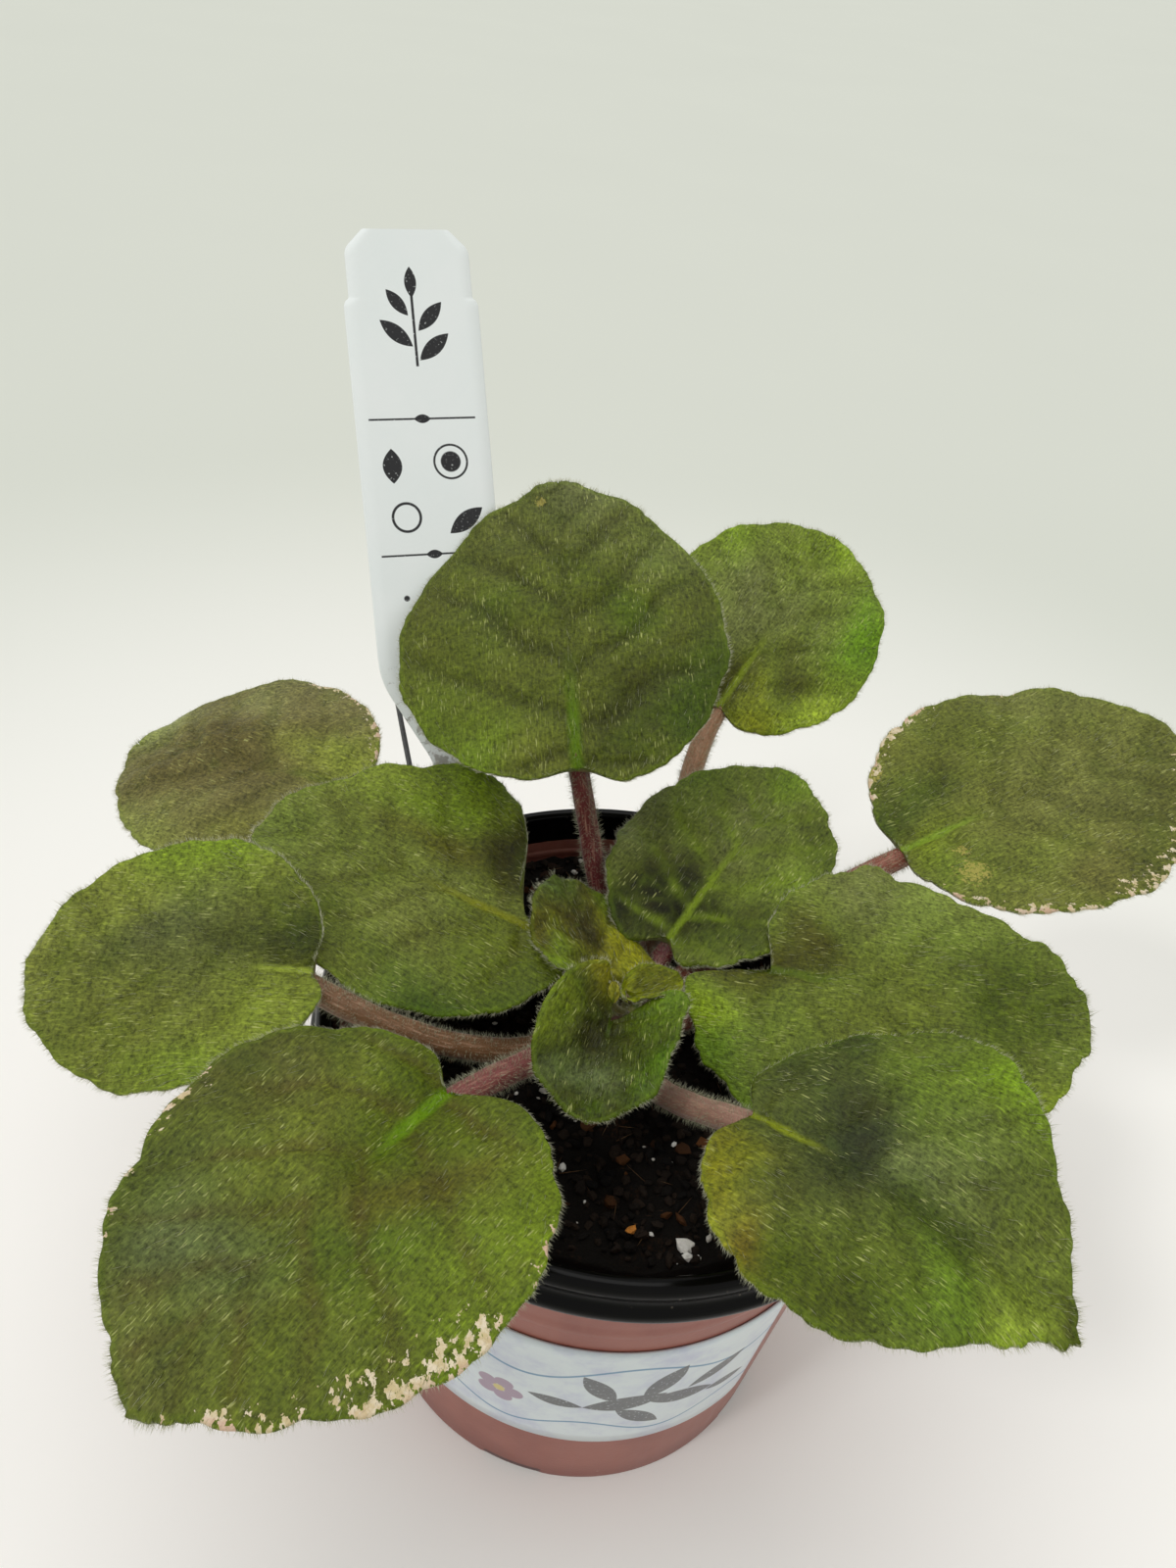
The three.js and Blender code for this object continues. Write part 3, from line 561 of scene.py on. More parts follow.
def outward(points, faces):
    """The faces as they are, or all turned round where they enclose a negative volume."""
    volume = 0.0
    for block in faces:
        first = points[block[:, 0]]
        for k in range(1, block.shape[1] - 1):
            cross = np.cross(points[block[:, k]], points[block[:, k + 1]])
            volume += (first * cross).sum()
    return faces if volume > 0 else [block[:, ::-1] for block in faces]


def piece(name, points, faces, materials, replaces=(), flat=None, marks=None, tints=None,
          choice=None, smooth=True):
    """A mesh object at the origin from points in millimetres and blocks of triangles or quads."""
    mesh = bpy.data.meshes.new(name)
    corners = np.concatenate([block.ravel() for block in faces])
    sizes = np.concatenate([np.full(len(block), block.shape[1]) for block in faces])
    mesh.vertices.add(len(points))
    mesh.vertices.foreach_set("co", (points * MM).astype(np.float32).ravel())
    mesh.loops.add(len(corners))
    mesh.loops.foreach_set("vertex_index", corners.astype(np.int32))
    mesh.polygons.add(len(sizes))
    starts = np.concatenate([[0], np.cumsum(sizes)[:-1]])
    mesh.polygons.foreach_set("loop_start", starts.astype(np.int32))
    mesh.update(calc_edges=True)
    mesh.polygons.foreach_set("use_smooth", np.full(len(sizes), smooth))
    if flat is not None:
        layer = mesh.uv_layers.new(name="flat")
        layer.data.foreach_set("uv", (flat[corners] / FLAT_UNIT).astype(np.float32).ravel())
    for label, values in (marks or {}).items():
        mark = mesh.attributes.new(label, "FLOAT", "POINT")
        mark.data.foreach_set("value", values.astype(np.float32).ravel())
    for label, values in (tints or {}).items():
        tint = mesh.attributes.new(label, "FLOAT_COLOR", "POINT")
        rows = np.concatenate([values, np.ones((len(values), 1))], axis=1)
        tint.data.foreach_set("color", rows.astype(np.float32).ravel())
    for finish in materials:
        mesh.materials.append(finish.material)
    if choice is not None:
        mesh.polygons.foreach_set("material_index", choice.astype(np.int32))
    mesh.validate()
    made = bpy.data.objects.new(name, mesh)
    bpy.context.scene.collection.objects.link(made)
    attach(made, "root")
    if replaces:
        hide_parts(*replaces)
    return made


def skin(rings, start, end):
    """A closed body of points and faces: rings one after another, and a pole at either end."""
    count, around = rings.shape[:2]
    points = np.concatenate([[start], rings.reshape(-1, 3), [end]])
    index = 1 + np.arange(count * around).reshape(count, around)
    ahead = np.roll(index, -1, axis=1)
    quads = np.stack([index[:-1], ahead[:-1], ahead[1:], index[1:]], -1).reshape(-1, 4)
    last = np.full(around, len(points) - 1)
    first_fan = np.stack([np.zeros(around, int), ahead[0], index[0]], -1)
    last_fan = np.stack([last, index[-1], ahead[-1]], -1)
    return points, outward(points, [quads, np.concatenate([first_fan, last_fan])])


def joined(bodies):
    """Several bodies of points and face blocks as one."""
    shift = 0
    points = []
    faces = []
    for body_points, body_faces in bodies:
        points.append(body_points)
        faces.extend(block + shift for block in body_faces)
        shift += len(body_points)
    return np.concatenate(points), faces


def spun(profile, sides, change=None):
    """A profile of (radius, height) turned round Z; change may move its points by radius, turn and height."""
    turn = turns(sides)
    radius = np.repeat(profile[1:-1, :1], sides, axis=1)
    height = np.repeat(profile[1:-1, 1:], sides, axis=1)
    if change is not None:
        radius = change(radius, turn[None, :], height)
    return skin(around(radius, turn, height), (0, 0, profile[0, 1]), (0, 0, profile[-1, 1]))


def rounded(corners, steps=5):
    """An open line of (x, y, rounding) whose corners are replaced by short curves of that reach."""
    corners = np.array(corners, float)
    line = [corners[:1, :2]]
    share = np.linspace(0, 1, steps)[:, None]
    for before, here, after in zip(corners[:-2], corners[1:-1], corners[2:]):
        point = here[:2]
        back = before[:2] - point
        on = after[:2] - point
        reach = min(here[2], 0.45 * np.linalg.norm(back), 0.45 * np.linalg.norm(on))
        first = point + back / np.linalg.norm(back) * reach
        last = point + on / np.linalg.norm(on) * reach
        line.append((1 - share) ** 2 * first + 2 * share * (1 - share) * point + share ** 2 * last)
    line.append(corners[-1:, :2])
    return np.concatenate(line)


def spikes(roots, ways, lengths, radius):
    """Straight three-sided hairs, each a closed needle of four faces, and their grade from root to tip."""
    helper = np.where(np.abs(ways[:, 2:]) > 0.9, [[1.0, 0, 0]], [[0, 0, 1.0]])
    side = unit(np.cross(ways, helper))
    other = np.cross(ways, side)
    turn = turns(3)[:, None]
    ring = side[:, None] * np.cos(turn) + other[:, None] * np.sin(turn)
    base = roots[:, None] - HAIR.root_depth * ways[:, None] + np.reshape(radius, (-1, 1, 1)) * ring
    tips = roots + ways * lengths[:, None]
    points = np.concatenate([base, tips[:, None]], 1)
    needle = np.array([[0, 1, 3], [1, 2, 3], [2, 0, 3], [2, 1, 0]])
    faces = (needle + 4 * np.arange(len(roots))[:, None, None]).reshape(-1, 3)
    return points.reshape(-1, 3), faces, np.tile([0, 0, 0, 1.0], len(roots))


# Leaf blades. The flat blade is drawn by t, which runs from the notch to the tip and picks a side
# vein, and u, which runs along that vein from the midrib, 0, to the edge, 1 or -1.

def edge_points(leaf, t, u):
    """The blade's edge on u's side: a half wave wide, drawn in at the notch by a bell, pointed at the tip.

    Each ear widens one side by a further bell, or narrows it, and draws it back.
    """
    right = u >= 0
    side = np.where(right, 1.0, -1.0)
    lobe = np.where(right, leaf.lobe_right, leaf.lobe_left) * leaf.length
    notch = np.where(right, leaf.notch_right, leaf.notch_left) * leaf.width
    widest = leaf.widest * leaf.length
    far = t > 0.5
    sine = np.abs(np.sin(np.pi * t))
    cosine = np.cos(np.pi * t)
    x = leaf.width / 2 * (1 + side * leaf.skew) * np.where(far, sine ** (1 + leaf.point), sine)
    ahead = widest - (leaf.length - widest) * cosine + leaf.tip * np.exp((t - 1) / BLADE.tip_share)
    behind = widest - (widest + lobe) * cosine + lobe * bell(x / notch)
    y = np.where(far, ahead, behind)
    for ear_side, middle, wider, back, reach in leaf.ears:
        drawn = bell((t - middle) / reach) * (side == ear_side)
        x = x * (1 + wider * drawn)
        y = y - back * drawn * np.clip(t / 0.1, 0, 1)
    return side * x, y


def flat_points(leaf, t, u):
    """Places on the flat blade and the length of the vein line through each, with the scalloped edge."""
    edge_x, edge_y = edge_points(leaf, t, u)
    midrib = (leaf.length + leaf.tip) * t ** BLADE.vein_rise
    span = np.hypot(edge_x, edge_y - midrib)
    uneven = 1 + BLADE.scallop_uneven * waves(t * 10 + 5 * (u > 0), t, 2.5, leaf.seed)
    scallop = np.abs(np.sin(np.pi * leaf.scallops * t)) - BLADE.scallop_middle
    nick = np.abs(np.sin(np.pi * BLADE.nicks * t + waves(t * 10, t, 1.5, leaf.seed + 5)))
    nick = nick - BLADE.scallop_middle
    start = np.clip((t - BLADE.scallops_from) / BLADE.scallop_fade, 0, 1)
    end = np.clip((BLADE.scallops_to - t) / BLADE.scallop_fade, 0, 1)
    wave = BLADE.scallop_depth * scallop * uneven + BLADE.nick_depth * nick
    depth = leaf.deep * wave * start * end * leaf.width / np.maximum(span, 1)
    reach = np.abs(u) * (1 + depth * np.clip(3 * np.abs(u) - 2, 0, 1))
    return edge_x * reach, midrib + (edge_y - midrib) * reach, span


def arc(start, turn, distance):
    """How far a strip gets along and up that starts at an angle and turns on evenly."""
    if np.all(np.abs(turn) < 1e-6):
        return distance * np.cos(start), distance * np.sin(start)
    end = start + turn * distance
    return (np.sin(end) - np.sin(start)) / turn, (np.cos(start) - np.cos(end)) / turn


def bent_points(leaf, x, y, depth):
    """Places on the bent blade: folded along the midrib, curled across, bent down along, and swept aside."""
    side = np.sign(x)
    far = np.abs(x)
    lift = np.where(x > 0, leaf.lift_right, leaf.lift_left)
    near_base = np.clip(1 - y / (BLADE.lift_reach * leaf.length), 0, 1.5)
    fold = np.radians(leaf.fold + lift * near_base)
    turn = np.radians(leaf.curl) / (leaf.width / 2)
    across, up = arc(fold, turn, far)
    soft = np.hypot(far, BLADE.crease)
    up = up + np.tan(fold) * (soft - far) * np.exp(-far / BLADE.crease)
    slope = (fold + turn * far) * far / soft
    outside = across + depth * np.sin(slope)
    height = up - depth * np.cos(slope)
    bend = np.radians(leaf.bend) / leaf.length
    forward, drop = arc(0.0, bend, y)
    lean = bend * y
    sideways = side * outside + leaf.sweep * np.maximum(0, y / leaf.length) ** 3
    return np.stack([sideways, forward + height * np.sin(lean), height * np.cos(lean) - drop], -1)


def blade_axes(leaf):
    """Right, forward and normal of a blade from its heading, pitch and roll, as rows."""
    heading, pitch, roll = np.radians([leaf.heading, leaf.pitch, leaf.roll])
    level = np.array([math.cos(heading), math.sin(heading), 0])
    side = np.array([math.sin(heading), -math.cos(heading), 0])
    above = np.array([0, 0, 1])
    forward = level * math.cos(pitch) + above * math.sin(pitch)
    up = above * math.cos(pitch) - level * math.sin(pitch)
    right = side * math.cos(roll) - up * math.sin(roll)
    normal = side * math.sin(roll) + up * math.cos(roll)
    return np.stack([right, forward, normal])


def sway(leaf, t, u, x, y):
    """How far the blade stands above its smooth shape: ruffles at the edge and slow waves further on."""
    beat = np.sin(2 * np.pi * 2.6 * t + leaf.seed) + 0.6 * np.sin(2 * np.pi * 5.3 * t + 1.7 * leaf.seed)
    slow = waves(x, y, BLADE.sway_size * leaf.size, leaf.seed + 1)
    slow = slow * np.clip(y / (0.3 * leaf.length), 0, 1)
    return leaf.ruffle * np.abs(u) ** 3 * beat + BLADE.sway * leaf.size * slow


def blade_points(leaf, t, u, depth):
    """Places on the bent blade in the world, so deep below its top."""
    x, y, _ = flat_points(leaf, t, u)
    depth = depth - sway(leaf, t, u, x, y)
    return np.array(leaf.base) + bent_points(leaf, x, y, depth) @ blade_axes(leaf)


def off_vein(leaf, x, y):
    """Distance in mm to the nearest side vein: lines that leave the midrib at a slant, less and less
    towards the tip, bend forwards on their way out and wander a little."""
    share = np.array([0.0, 0.12, 0.29, 0.47, 0.65, 0.82])
    slant = np.radians([95, 67, 56, 50, 45, 40])
    far = np.abs(x)[..., None]
    start = (share + np.where(x > 0, 0.0, 0.04)[..., None]) * leaf.length
    wander = 0.024 * leaf.length * waves(x, y, 20, leaf.seed + 7)[..., None]
    line = start + far / np.tan(slant) + 0.22 * far ** 2 / leaf.width + wander * np.minimum(1, far / 6)
    return np.abs((y[..., None] - line) * np.sin(slant)).min(-1)


def off_net(x, y, size, seed):
    """Distance to the nearest border between cells round jittered grid points, 0 on it."""
    column = np.floor(x / size)
    row = np.floor(y / size)
    nearest = []
    for i in (-1, 0, 1):
        for j in (-1, 0, 1):
            key = (column + i) * 12.9898 + (row + j) * 78.233 + seed
            first = (np.sin(key) * 43758.5453) % 1
            second = (np.sin(key * 1.7 + 3.1) * 24634.6345) % 1
            nearest.append(np.hypot((column + i + first) * size - x, (row + j + second) * size - y))
    nearest = np.sort(np.stack(nearest), axis=0)
    return (nearest[1] - nearest[0]) / 2


def blade_body(leaf):
    """A closed blade. Each ring crosses the top, turns round the right edge, comes back below and
    turns round the left edge; veins sink into the top and stand out below."""
    bend = np.radians([60, 25, -10, -45, -75])
    inwards, downwards = 1 - np.cos(bend), 1 - np.sin(bend)
    turning = np.array([0, 0, 0, 0.5, 1])
    top, below, corner = leaf.columns + 1, leaf.under + 1, np.ones(len(bend))
    share = np.concatenate([np.linspace(-1, 1, top), corner, np.linspace(1, -1, below), -corner])
    inset = np.concatenate([np.ones(top), inwards, np.ones(below), inwards[::-1]])
    sunk = np.concatenate([np.zeros(top), downwards, np.full(below, 2.0), downwards[::-1]])
    is_under = np.concatenate([np.zeros(top), turning, np.ones(below), turning[::-1]])
    t = np.linspace(0, 1, leaf.rows + 1)[1:-1, None]
    t, share, inset, sunk, is_under = np.broadcast_arrays(t, share, inset, sunk, is_under)
    side = np.where(share < 0, -1.0, 1.0)
    _, _, span = flat_points(leaf, t, side)
    radius = BLADE.edge / 2
    u = share * (1 - np.minimum(radius, 0.3 * span) * inset / span)
    x, y, _ = flat_points(leaf, t, u)
    along = y / leaf.length
    size = leaf.size
    fade = 1 - 0.75 * np.abs(share) ** 3
    inner = 1 - np.abs(share) ** 6
    side_vein = off_vein(leaf, x, y) / size
    vein = bell(side_vein / BLADE.vein_width) * fade
    net = bell(off_net(x, y, BLADE.net_size * size, leaf.seed) / (BLADE.net_width * size)) * fade
    midrib = bell(x / (BLADE.midrib_width * size)) * np.clip(1.05 - along, 0, 1)
    puff = np.tanh(np.minimum(side_vein, np.abs(x) / size) / BLADE.puff_reach)
    relief = BLADE.puff * puff - BLADE.vein_sink * vein - BLADE.midrib_sink * midrib - BLADE.net_sink * net
    relief = size * leaf.quilt * relief + BLADE.lump * waves(x, y, BLADE.lump_size, leaf.seed + 2)
    ridge = bell(x / (BLADE.ridge_width * size)) * np.clip(1 - along, 0, 1) ** 0.7
    ridge = size * (ridge + BLADE.vein_ridge * vein)
    thickness = BLADE.thickness + (BLADE.edge - BLADE.thickness) * np.abs(share) ** 2
    small = min(1.0, leaf.length / 20)
    depth = small * np.where(
        is_under > 0.9,
        np.where(sunk >= 2, thickness + ridge * inner, radius * sunk),
        np.where(sunk <= 0, -relief * inner, radius * sunk),
    ) - sway(leaf, t, u, x, y)
    rings = np.array(leaf.base) + bent_points(leaf, x, y, depth) @ blade_axes(leaf)
    poles = blade_points(leaf, np.array([0.0, 1.0]), np.zeros(2), np.full(2, radius * small))
    points, faces = skin(rings, poles[0], poles[1])
    rim = np.clip(1 - np.abs(share), 0, 1) * span
    marks = {
        "rim": rim, "rib": np.abs(x), "along": along, "vein": vein, "net": net, "puff": puff * fade,
        "under": is_under, "fleck": fleck_mark(leaf, t, side, rim), "scar": scar_mark(leaf, x, y),
    }
    marks = {name: with_poles(values) for name, values in marks.items()}
    marks["along"][-1] = 1
    flat = np.stack([with_poles(x), with_poles(y, last=leaf.length)], -1)
    return points, faces, flat, marks, {"tint": blade_tint(leaf, flat)}


def fleck_mark(leaf, t, side, rim):
    """Where the edge is flecked: each row's stretch of the edge, fading inwards over its reach."""
    mark = np.zeros_like(t)
    for edge, start, end, reach, strength in leaf.flecks:
        near = np.clip((t - start) / 0.06, 0, 1) * np.clip((end - t) / 0.06, 0, 1) * (side == edge)
        mark = np.maximum(mark, strength * near * np.clip(1.05 - rim / reach, 0, 1))
    return mark


def scar_mark(leaf, x, y):
    """Where the blade is scarred: a cone over each row's place."""
    mark = np.zeros_like(x)
    for across, along, reach, strength in leaf.scars:
        off = np.hypot(x - across * leaf.width / 2, y - along * leaf.length)
        mark = np.maximum(mark, strength * np.clip(1.3 - off / reach, 0, 1))
    return mark


def blade_tint(leaf, flat):
    """The slow change of colour over a blade: its own tone with soft uneven patches laid over it, which hold
    its own colour and also painted light, shade and sheen.
    """
    x = flat[:, 0] / (leaf.width / 2)
    y = flat[:, 1] / leaf.length
    warp_x = x + 0.1 * waves(x, y, 0.7, leaf.seed + 3)
    warp_y = y + 0.08 * waves(x, y, 0.7, leaf.seed + 4)
    own = np.array(colour(leaf.tone)[:3])
    tint = np.repeat(own[None], len(x), axis=0)
    for across, along, size, tone, strength in leaf.patches:
        off = np.hypot((warp_x - across) * 0.6, warp_y - along)
        share = strength * np.exp(-((off / size) ** 2.6))[:, None]
        tint = tint * (1 - share) + np.array(colour(tone)[:3]) * share
    shade = np.clip(tint.mean(1, keepdims=True) / own.mean(), 0.3, 1.6)
    power = np.where(shade < 1, leaf.contrast, leaf.contrast - 0.5)
    return tint * shade ** power * leaf.light * np.array([1, 1, 0.85])


def leaf_finish(leaf):
    """Hairy leaf skin: mottled green, darker along sunk veins partly by their own tone and partly by painted
    shade, painted highlight on the puffed quilting between them, a bright midrib and fine strokes of hair
    brightened by painted glints.
    """
    f = Finish(
        f"leaf {leaf.name}", Sheen_Weight=0.03, Sheen_Roughness=0.4, Sheen_Tint=colour((190, 200, 120)),
        Specular_IOR_Level=0.17,
    )
    flat = f.flat()
    x, y, _ = f.parts(flat)
    size = leaf.size
    wide = f.noise(flat, 9.0 * size, 2.5)
    middle = f.noise(flat, 1.9, 4.0, 0.7)
    fine = f.noise(flat, 0.75, 2.0, 0.7)
    hue = f.noise(f.scaled(flat, (-1, 1, 0)), 10.0 * size)
    ahead = y + abs(x) * 0.4
    strokes = f.noise(f.joined(x * 2.3, ahead * 0.5), 1.0, 2.0, 0.65)
    thin = f.noise(f.joined(x * 3.4 + 31, ahead * 0.42), 1.0, 1.0, 0.5)
    rim, rib, along = f.mark("rim"), f.mark("rib"), f.mark("along")
    vein, net, puff = f.mark("vein"), f.mark("net"), f.mark("puff")
    tint = f.tint()
    mottle = wide.rise(0.3, 0.7) * 0.34 + middle.rise(0.3, 0.7) * 0.3 + fine.rise(0.28, 0.72) * 0.7
    # Painted shade and highlight: the colour is lighter where the quilting puffs up between the veins and
    # darker in the sunk valleys.
    body = f.shade(tint, 0.34 + mottle + puff * (0.4 * leaf.vein_strength))
    body = f.mix(hue.rise(0.5, 0.66) * 0.14, body, LEAF_GREEN)
    body = f.mix(hue.rise(0.48, 0.34) * 0.14, body, RUSSET)
    broken = 0.35 + wide.rise(0.36, 0.62) * 0.7 + middle * 0.3
    body = f.mix((vein * 0.9 + net * 0.3) * broken * leaf.vein_strength, body, leaf.vein)
    body = f.mix(rim.rise(0.9 * size, 0.1) * wide * 0.35, body, LIME)
    near_rib = (rib + (middle - 0.5) * 0.8).rise(leaf.rib_width * 2.0 * size, leaf.rib_width * 0.3 * size)
    near_base = (along + (wide - 0.5) * 0.2).rise(leaf.rib_reach, leaf.rib_reach * 0.4)
    body = f.mix(near_rib * near_base * leaf.rib_strength, body, leaf.rib)
    # Partly the hairs' own pale colour and partly painted highlight: strokes lifted to several times the
    # blade's colour and glint-coloured streaks stand in for light caught on the hairs.
    light = strokes.rise(0.54, 0.7) * (0.3 + middle.rise(0.34, 0.6))
    body = f.mix(light * 0.27, body, f.shade(tint, 3.4))
    body = f.mix(thin.rise(0.63, 0.7) * wide.rise(0.44, 0.6) * 0.6, body, HAIR_GLINT)
    body = f.mix(strokes.rise(0.46, 0.3) * 0.5, body, f.shade(tint, 0.25))
    body = f.mix(fine.rise(0.42, 0.25) * 0.35, body, LEAF_SHADOW)
    if leaf.scars:
        scar = f.mark("scar")
        dots = (scar * 0.5 + f.noise(flat, 0.8, 3.0, 0.8)).rise(0.74, 0.8)
        solid = (scar + f.noise(flat, 1.5, 3.0, 0.6) - 0.5).rise(0.84, 0.92)
        body = f.mix(solid * 0.85, f.mix(dots * 0.75, body, STRAW), TAN)
    if leaf.flecks:
        slanted = f.joined((abs(x) * 0.75 + y * 0.65) * 0.55, (abs(x) * 0.65 - y * 0.75) * 0.72)
        islands = f.noise(slanted, 1.0, 3.0, 0.65)
        cream = f.mix(middle.rise(0.4, 0.6), CREAM, (204, 186, 142))
        cream = f.mix(rim.rise(0.9, 0.2) * wide.rise(0.4, 0.6) * 0.6, cream, (206, 164, 146))
        body = f.mix((f.mark("fleck") * 0.34 + islands).rise(0.79, 0.82), body, cream)
    below = f.mix(vein * 0.6, (112, 116, 74), (140, 96, 80))
    rough = leaf.rough + middle * 0.24 - wide.rise(0.5, 0.75) * 0.1
    f.dress(f.mix(f.mark("under"), body, below), rough, fine * 0.5 + middle * 0.1 + strokes * 0.4, 0.6)
    return f


# Stalks.

def stalk_path(leaf):
    """Corners of the curve from the crown to the blade: out along the bearing, then in under the midrib."""
    _, forward, normal = blade_axes(leaf)
    base = np.array(leaf.base, float)
    drop = BLADE.thickness + GAP + leaf.stalk
    reach_under = min(STALK.reach_under, STALK.most_under * leaf.length)
    end = base - normal * drop + forward * reach_under
    bearing = math.atan2(end[1], end[0]) if leaf.bearing is None else math.radians(leaf.bearing)
    outside = np.array([math.cos(bearing), math.sin(bearing), 0])
    start = outside * leaf.root + [0, 0, leaf.tier]
    span = np.linalg.norm(end - start)
    aside = unit(np.array([end[1] - start[1], start[0] - end[0], 0])) * leaf.swing
    leave = start + outside * span * leaf.reach + aside + [0, 0, leaf.arch]
    arrive = end - forward * span * leaf.settle + aside
    raised = 0.75 * leaf.stalk * normal
    return start - outside * 1.5, leave, arrive + raised * 0.6, end + raised


def stalk_frame(leaf, s):
    """Centre, side, up and way of the stalk at s from 0 to 1: a cubic curve, with up nearest to Z."""
    a, b, c, d = stalk_path(leaf)
    s = s[:, None]
    centre = (1 - s) ** 3 * a + 3 * s * (1 - s) ** 2 * b + 3 * s ** 2 * (1 - s) * c + s ** 3 * d
    way = unit(3 * (1 - s) ** 2 * (b - a) + 6 * s * (1 - s) * (c - b) + 3 * s ** 2 * (d - c))
    side = unit(np.cross(way, [0, 0, 1.0]))
    return centre, side, np.cross(side, way), way


def stalk_radius(leaf, s, turn):
    """Nearly round, flatter and faintly grooved on top, wider at the crown, drawn in under the blade."""
    ends = 1 + 0.25 * np.exp(-s / 0.06) - 0.5 * np.clip((s - 0.94) / 0.06, 0, 1) ** 2
    groove = 0.14 * bell((turn - np.pi / 2) / 0.45)
    uneven = 0.03 * np.sin(9 * s + 3 * turn + leaf.seed) + 0.02 * np.sin(31 * s + leaf.seed)
    return leaf.stalk * ends * (1 + 0.05 * np.cos(2 * turn) - groove + uneven)


def stalk_body(leaf):
    """Rings round the stalk's curve, with its flat map and how far along each point lies."""
    s = np.linspace(0, 1, STALK.steps)[:, None]
    turn = turns(STALK.sides)
    centre, side, up, way = stalk_frame(leaf, s[:, 0])
    radius = stalk_radius(leaf, s, turn)
    out = side[:, None] * np.cos(turn)[:, None] + up[:, None] * np.sin(turn)[:, None]
    rings = centre[:, None] + radius[..., None] * out
    points, faces = skin(rings, centre[0] - way[0] * 0.5, centre[-1] + way[-1] * 0.8)
    length = np.linalg.norm(np.diff(centre, axis=0), axis=1).sum()
    across, along = np.broadcast_arrays(turn * leaf.stalk, s)
    flat = np.stack([with_poles(across), with_poles(along * length)], -1)
    return points, faces, flat, {"reach": with_poles(along, last=1)}


def stalk_finish(leaf):
    """Fleshy stalk: its tone with long pale streaks, greener where it meets the blade."""
    f = Finish(f"stalk {leaf.name}", Sheen_Weight=0.3, Sheen_Roughness=0.4, Specular_IOR_Level=0.4)
    streaks = f.noise(f.scaled(f.flat(), (2.2, 0.22, 0)), 1.0, 3.0, 0.6)
    blotch = f.noise(f.here(), 3.5)
    fine = f.noise(f.here(), 0.4, 2.0)
    tone = f.shade(colour(leaf.stalk_tone)[:3], 0.5 + streaks * 0.6 + blotch * 0.35)
    tone = f.mix(streaks.rise(0.5, 0.72) * 0.4, tone, (196, 158, 132))
    tone = f.mix(fine.rise(0.6, 0.75) * 0.35, tone, (206, 178, 150))
    tone = f.mix(f.mark("reach").rise(0.93, 1.0) * 0.7, tone, LEAF_GREEN)
    f.dress(tone, 0.42 + blotch * 0.2, streaks * 0.6 + fine * 0.4, 0.2)
    return f


# Hairs.

def blade_hairs(leaf, rng, density, under):
    """Hairs all over one face, even by area, leaning towards the tip and outwards."""
    area = 0.75 * leaf.length * leaf.width
    count = int(area * density)
    draws = 6 * count
    t = rng.uniform(0.01, 0.99, draws)
    u = rng.uniform(-0.97, 0.97, draws)
    step = 0.002
    x, y, span = flat_points(leaf, t, u)
    next_x, next_y, _ = flat_points(leaf, t + step, u)
    weight = span * np.hypot(next_x - x, next_y - y)
    chosen = rng.choice(draws, count, replace=False, p=weight / weight.sum())
    t, u = t[chosen], u[chosen]
    level = np.full(count, (BLADE.thickness + 0.15) if under else -0.02)
    roots = blade_points(leaf, t, u, level)
    along = blade_points(leaf, t + 2 * step, u, level) - roots
    across = blade_points(leaf, t, u + 2 * step, level) - roots
    normal = unit(np.cross(across, along)) * (-1 if under else 1)
    right, forward, _ = blade_axes(leaf)
    ways = 0.9 * forward + 0.5 * u[:, None] * right + 0.13 * rng.normal(size=(count, 3))
    lean = (ways * normal).sum(1, keepdims=True)
    crowd = waves(x[chosen], y[chosen], 13, leaf.seed + 9)
    long = rng.uniform(size=count) > 0.985 - 0.09 * np.clip(crowd, 0, 1.5)
    rise = np.where(long, rng.uniform(*HAIR.long_rise, count), rng.uniform(*HAIR.rise, count))
    ways = unit(ways + (rise[:, None] - lean) * normal)
    lengths = np.where(long, rng.uniform(*HAIR.long_length, count), rng.uniform(*HAIR.length, count))
    radius = np.where(long, HAIR.long_radius, HAIR.radius)
    points, faces, grade = spikes(roots, ways, lengths * min(1, leaf.length / 30 + 0.35), radius)
    return points, faces, grade * np.repeat(np.where(long, 1.0, rng.uniform(0.15, 0.5, count)), 4)


def edge_hairs(leaf, rng):
    """A fringe all round the edge, pointing outwards and a little ahead."""
    count = int(HAIR.edge_density * 2.6 * leaf.length)
    t = rng.uniform(0.005, 0.995, count)
    u = np.where(rng.uniform(size=count) > 0.5, 1.0, -1.0)
    level = rng.uniform(0.15, 0.75, count)
    roots = blade_points(leaf, t, u * 0.995, level)
    outside = unit(roots - blade_points(leaf, t, u * 0.9, level))
    _, forward, normal = blade_axes(leaf)
    upwards = 0.4 * normal * rng.uniform(-0.3, 1.3, (count, 1))
    ways = unit(outside + 0.35 * forward + upwards + 0.25 * rng.normal(size=(count, 3)))
    lengths = rng.uniform(*HAIR.edge_length, count) * min(1, leaf.length / 30 + 0.3)
    points, faces, grade = spikes(roots, ways, lengths, HAIR.edge_radius)
    return points, faces, 0.5 + 0.5 * grade


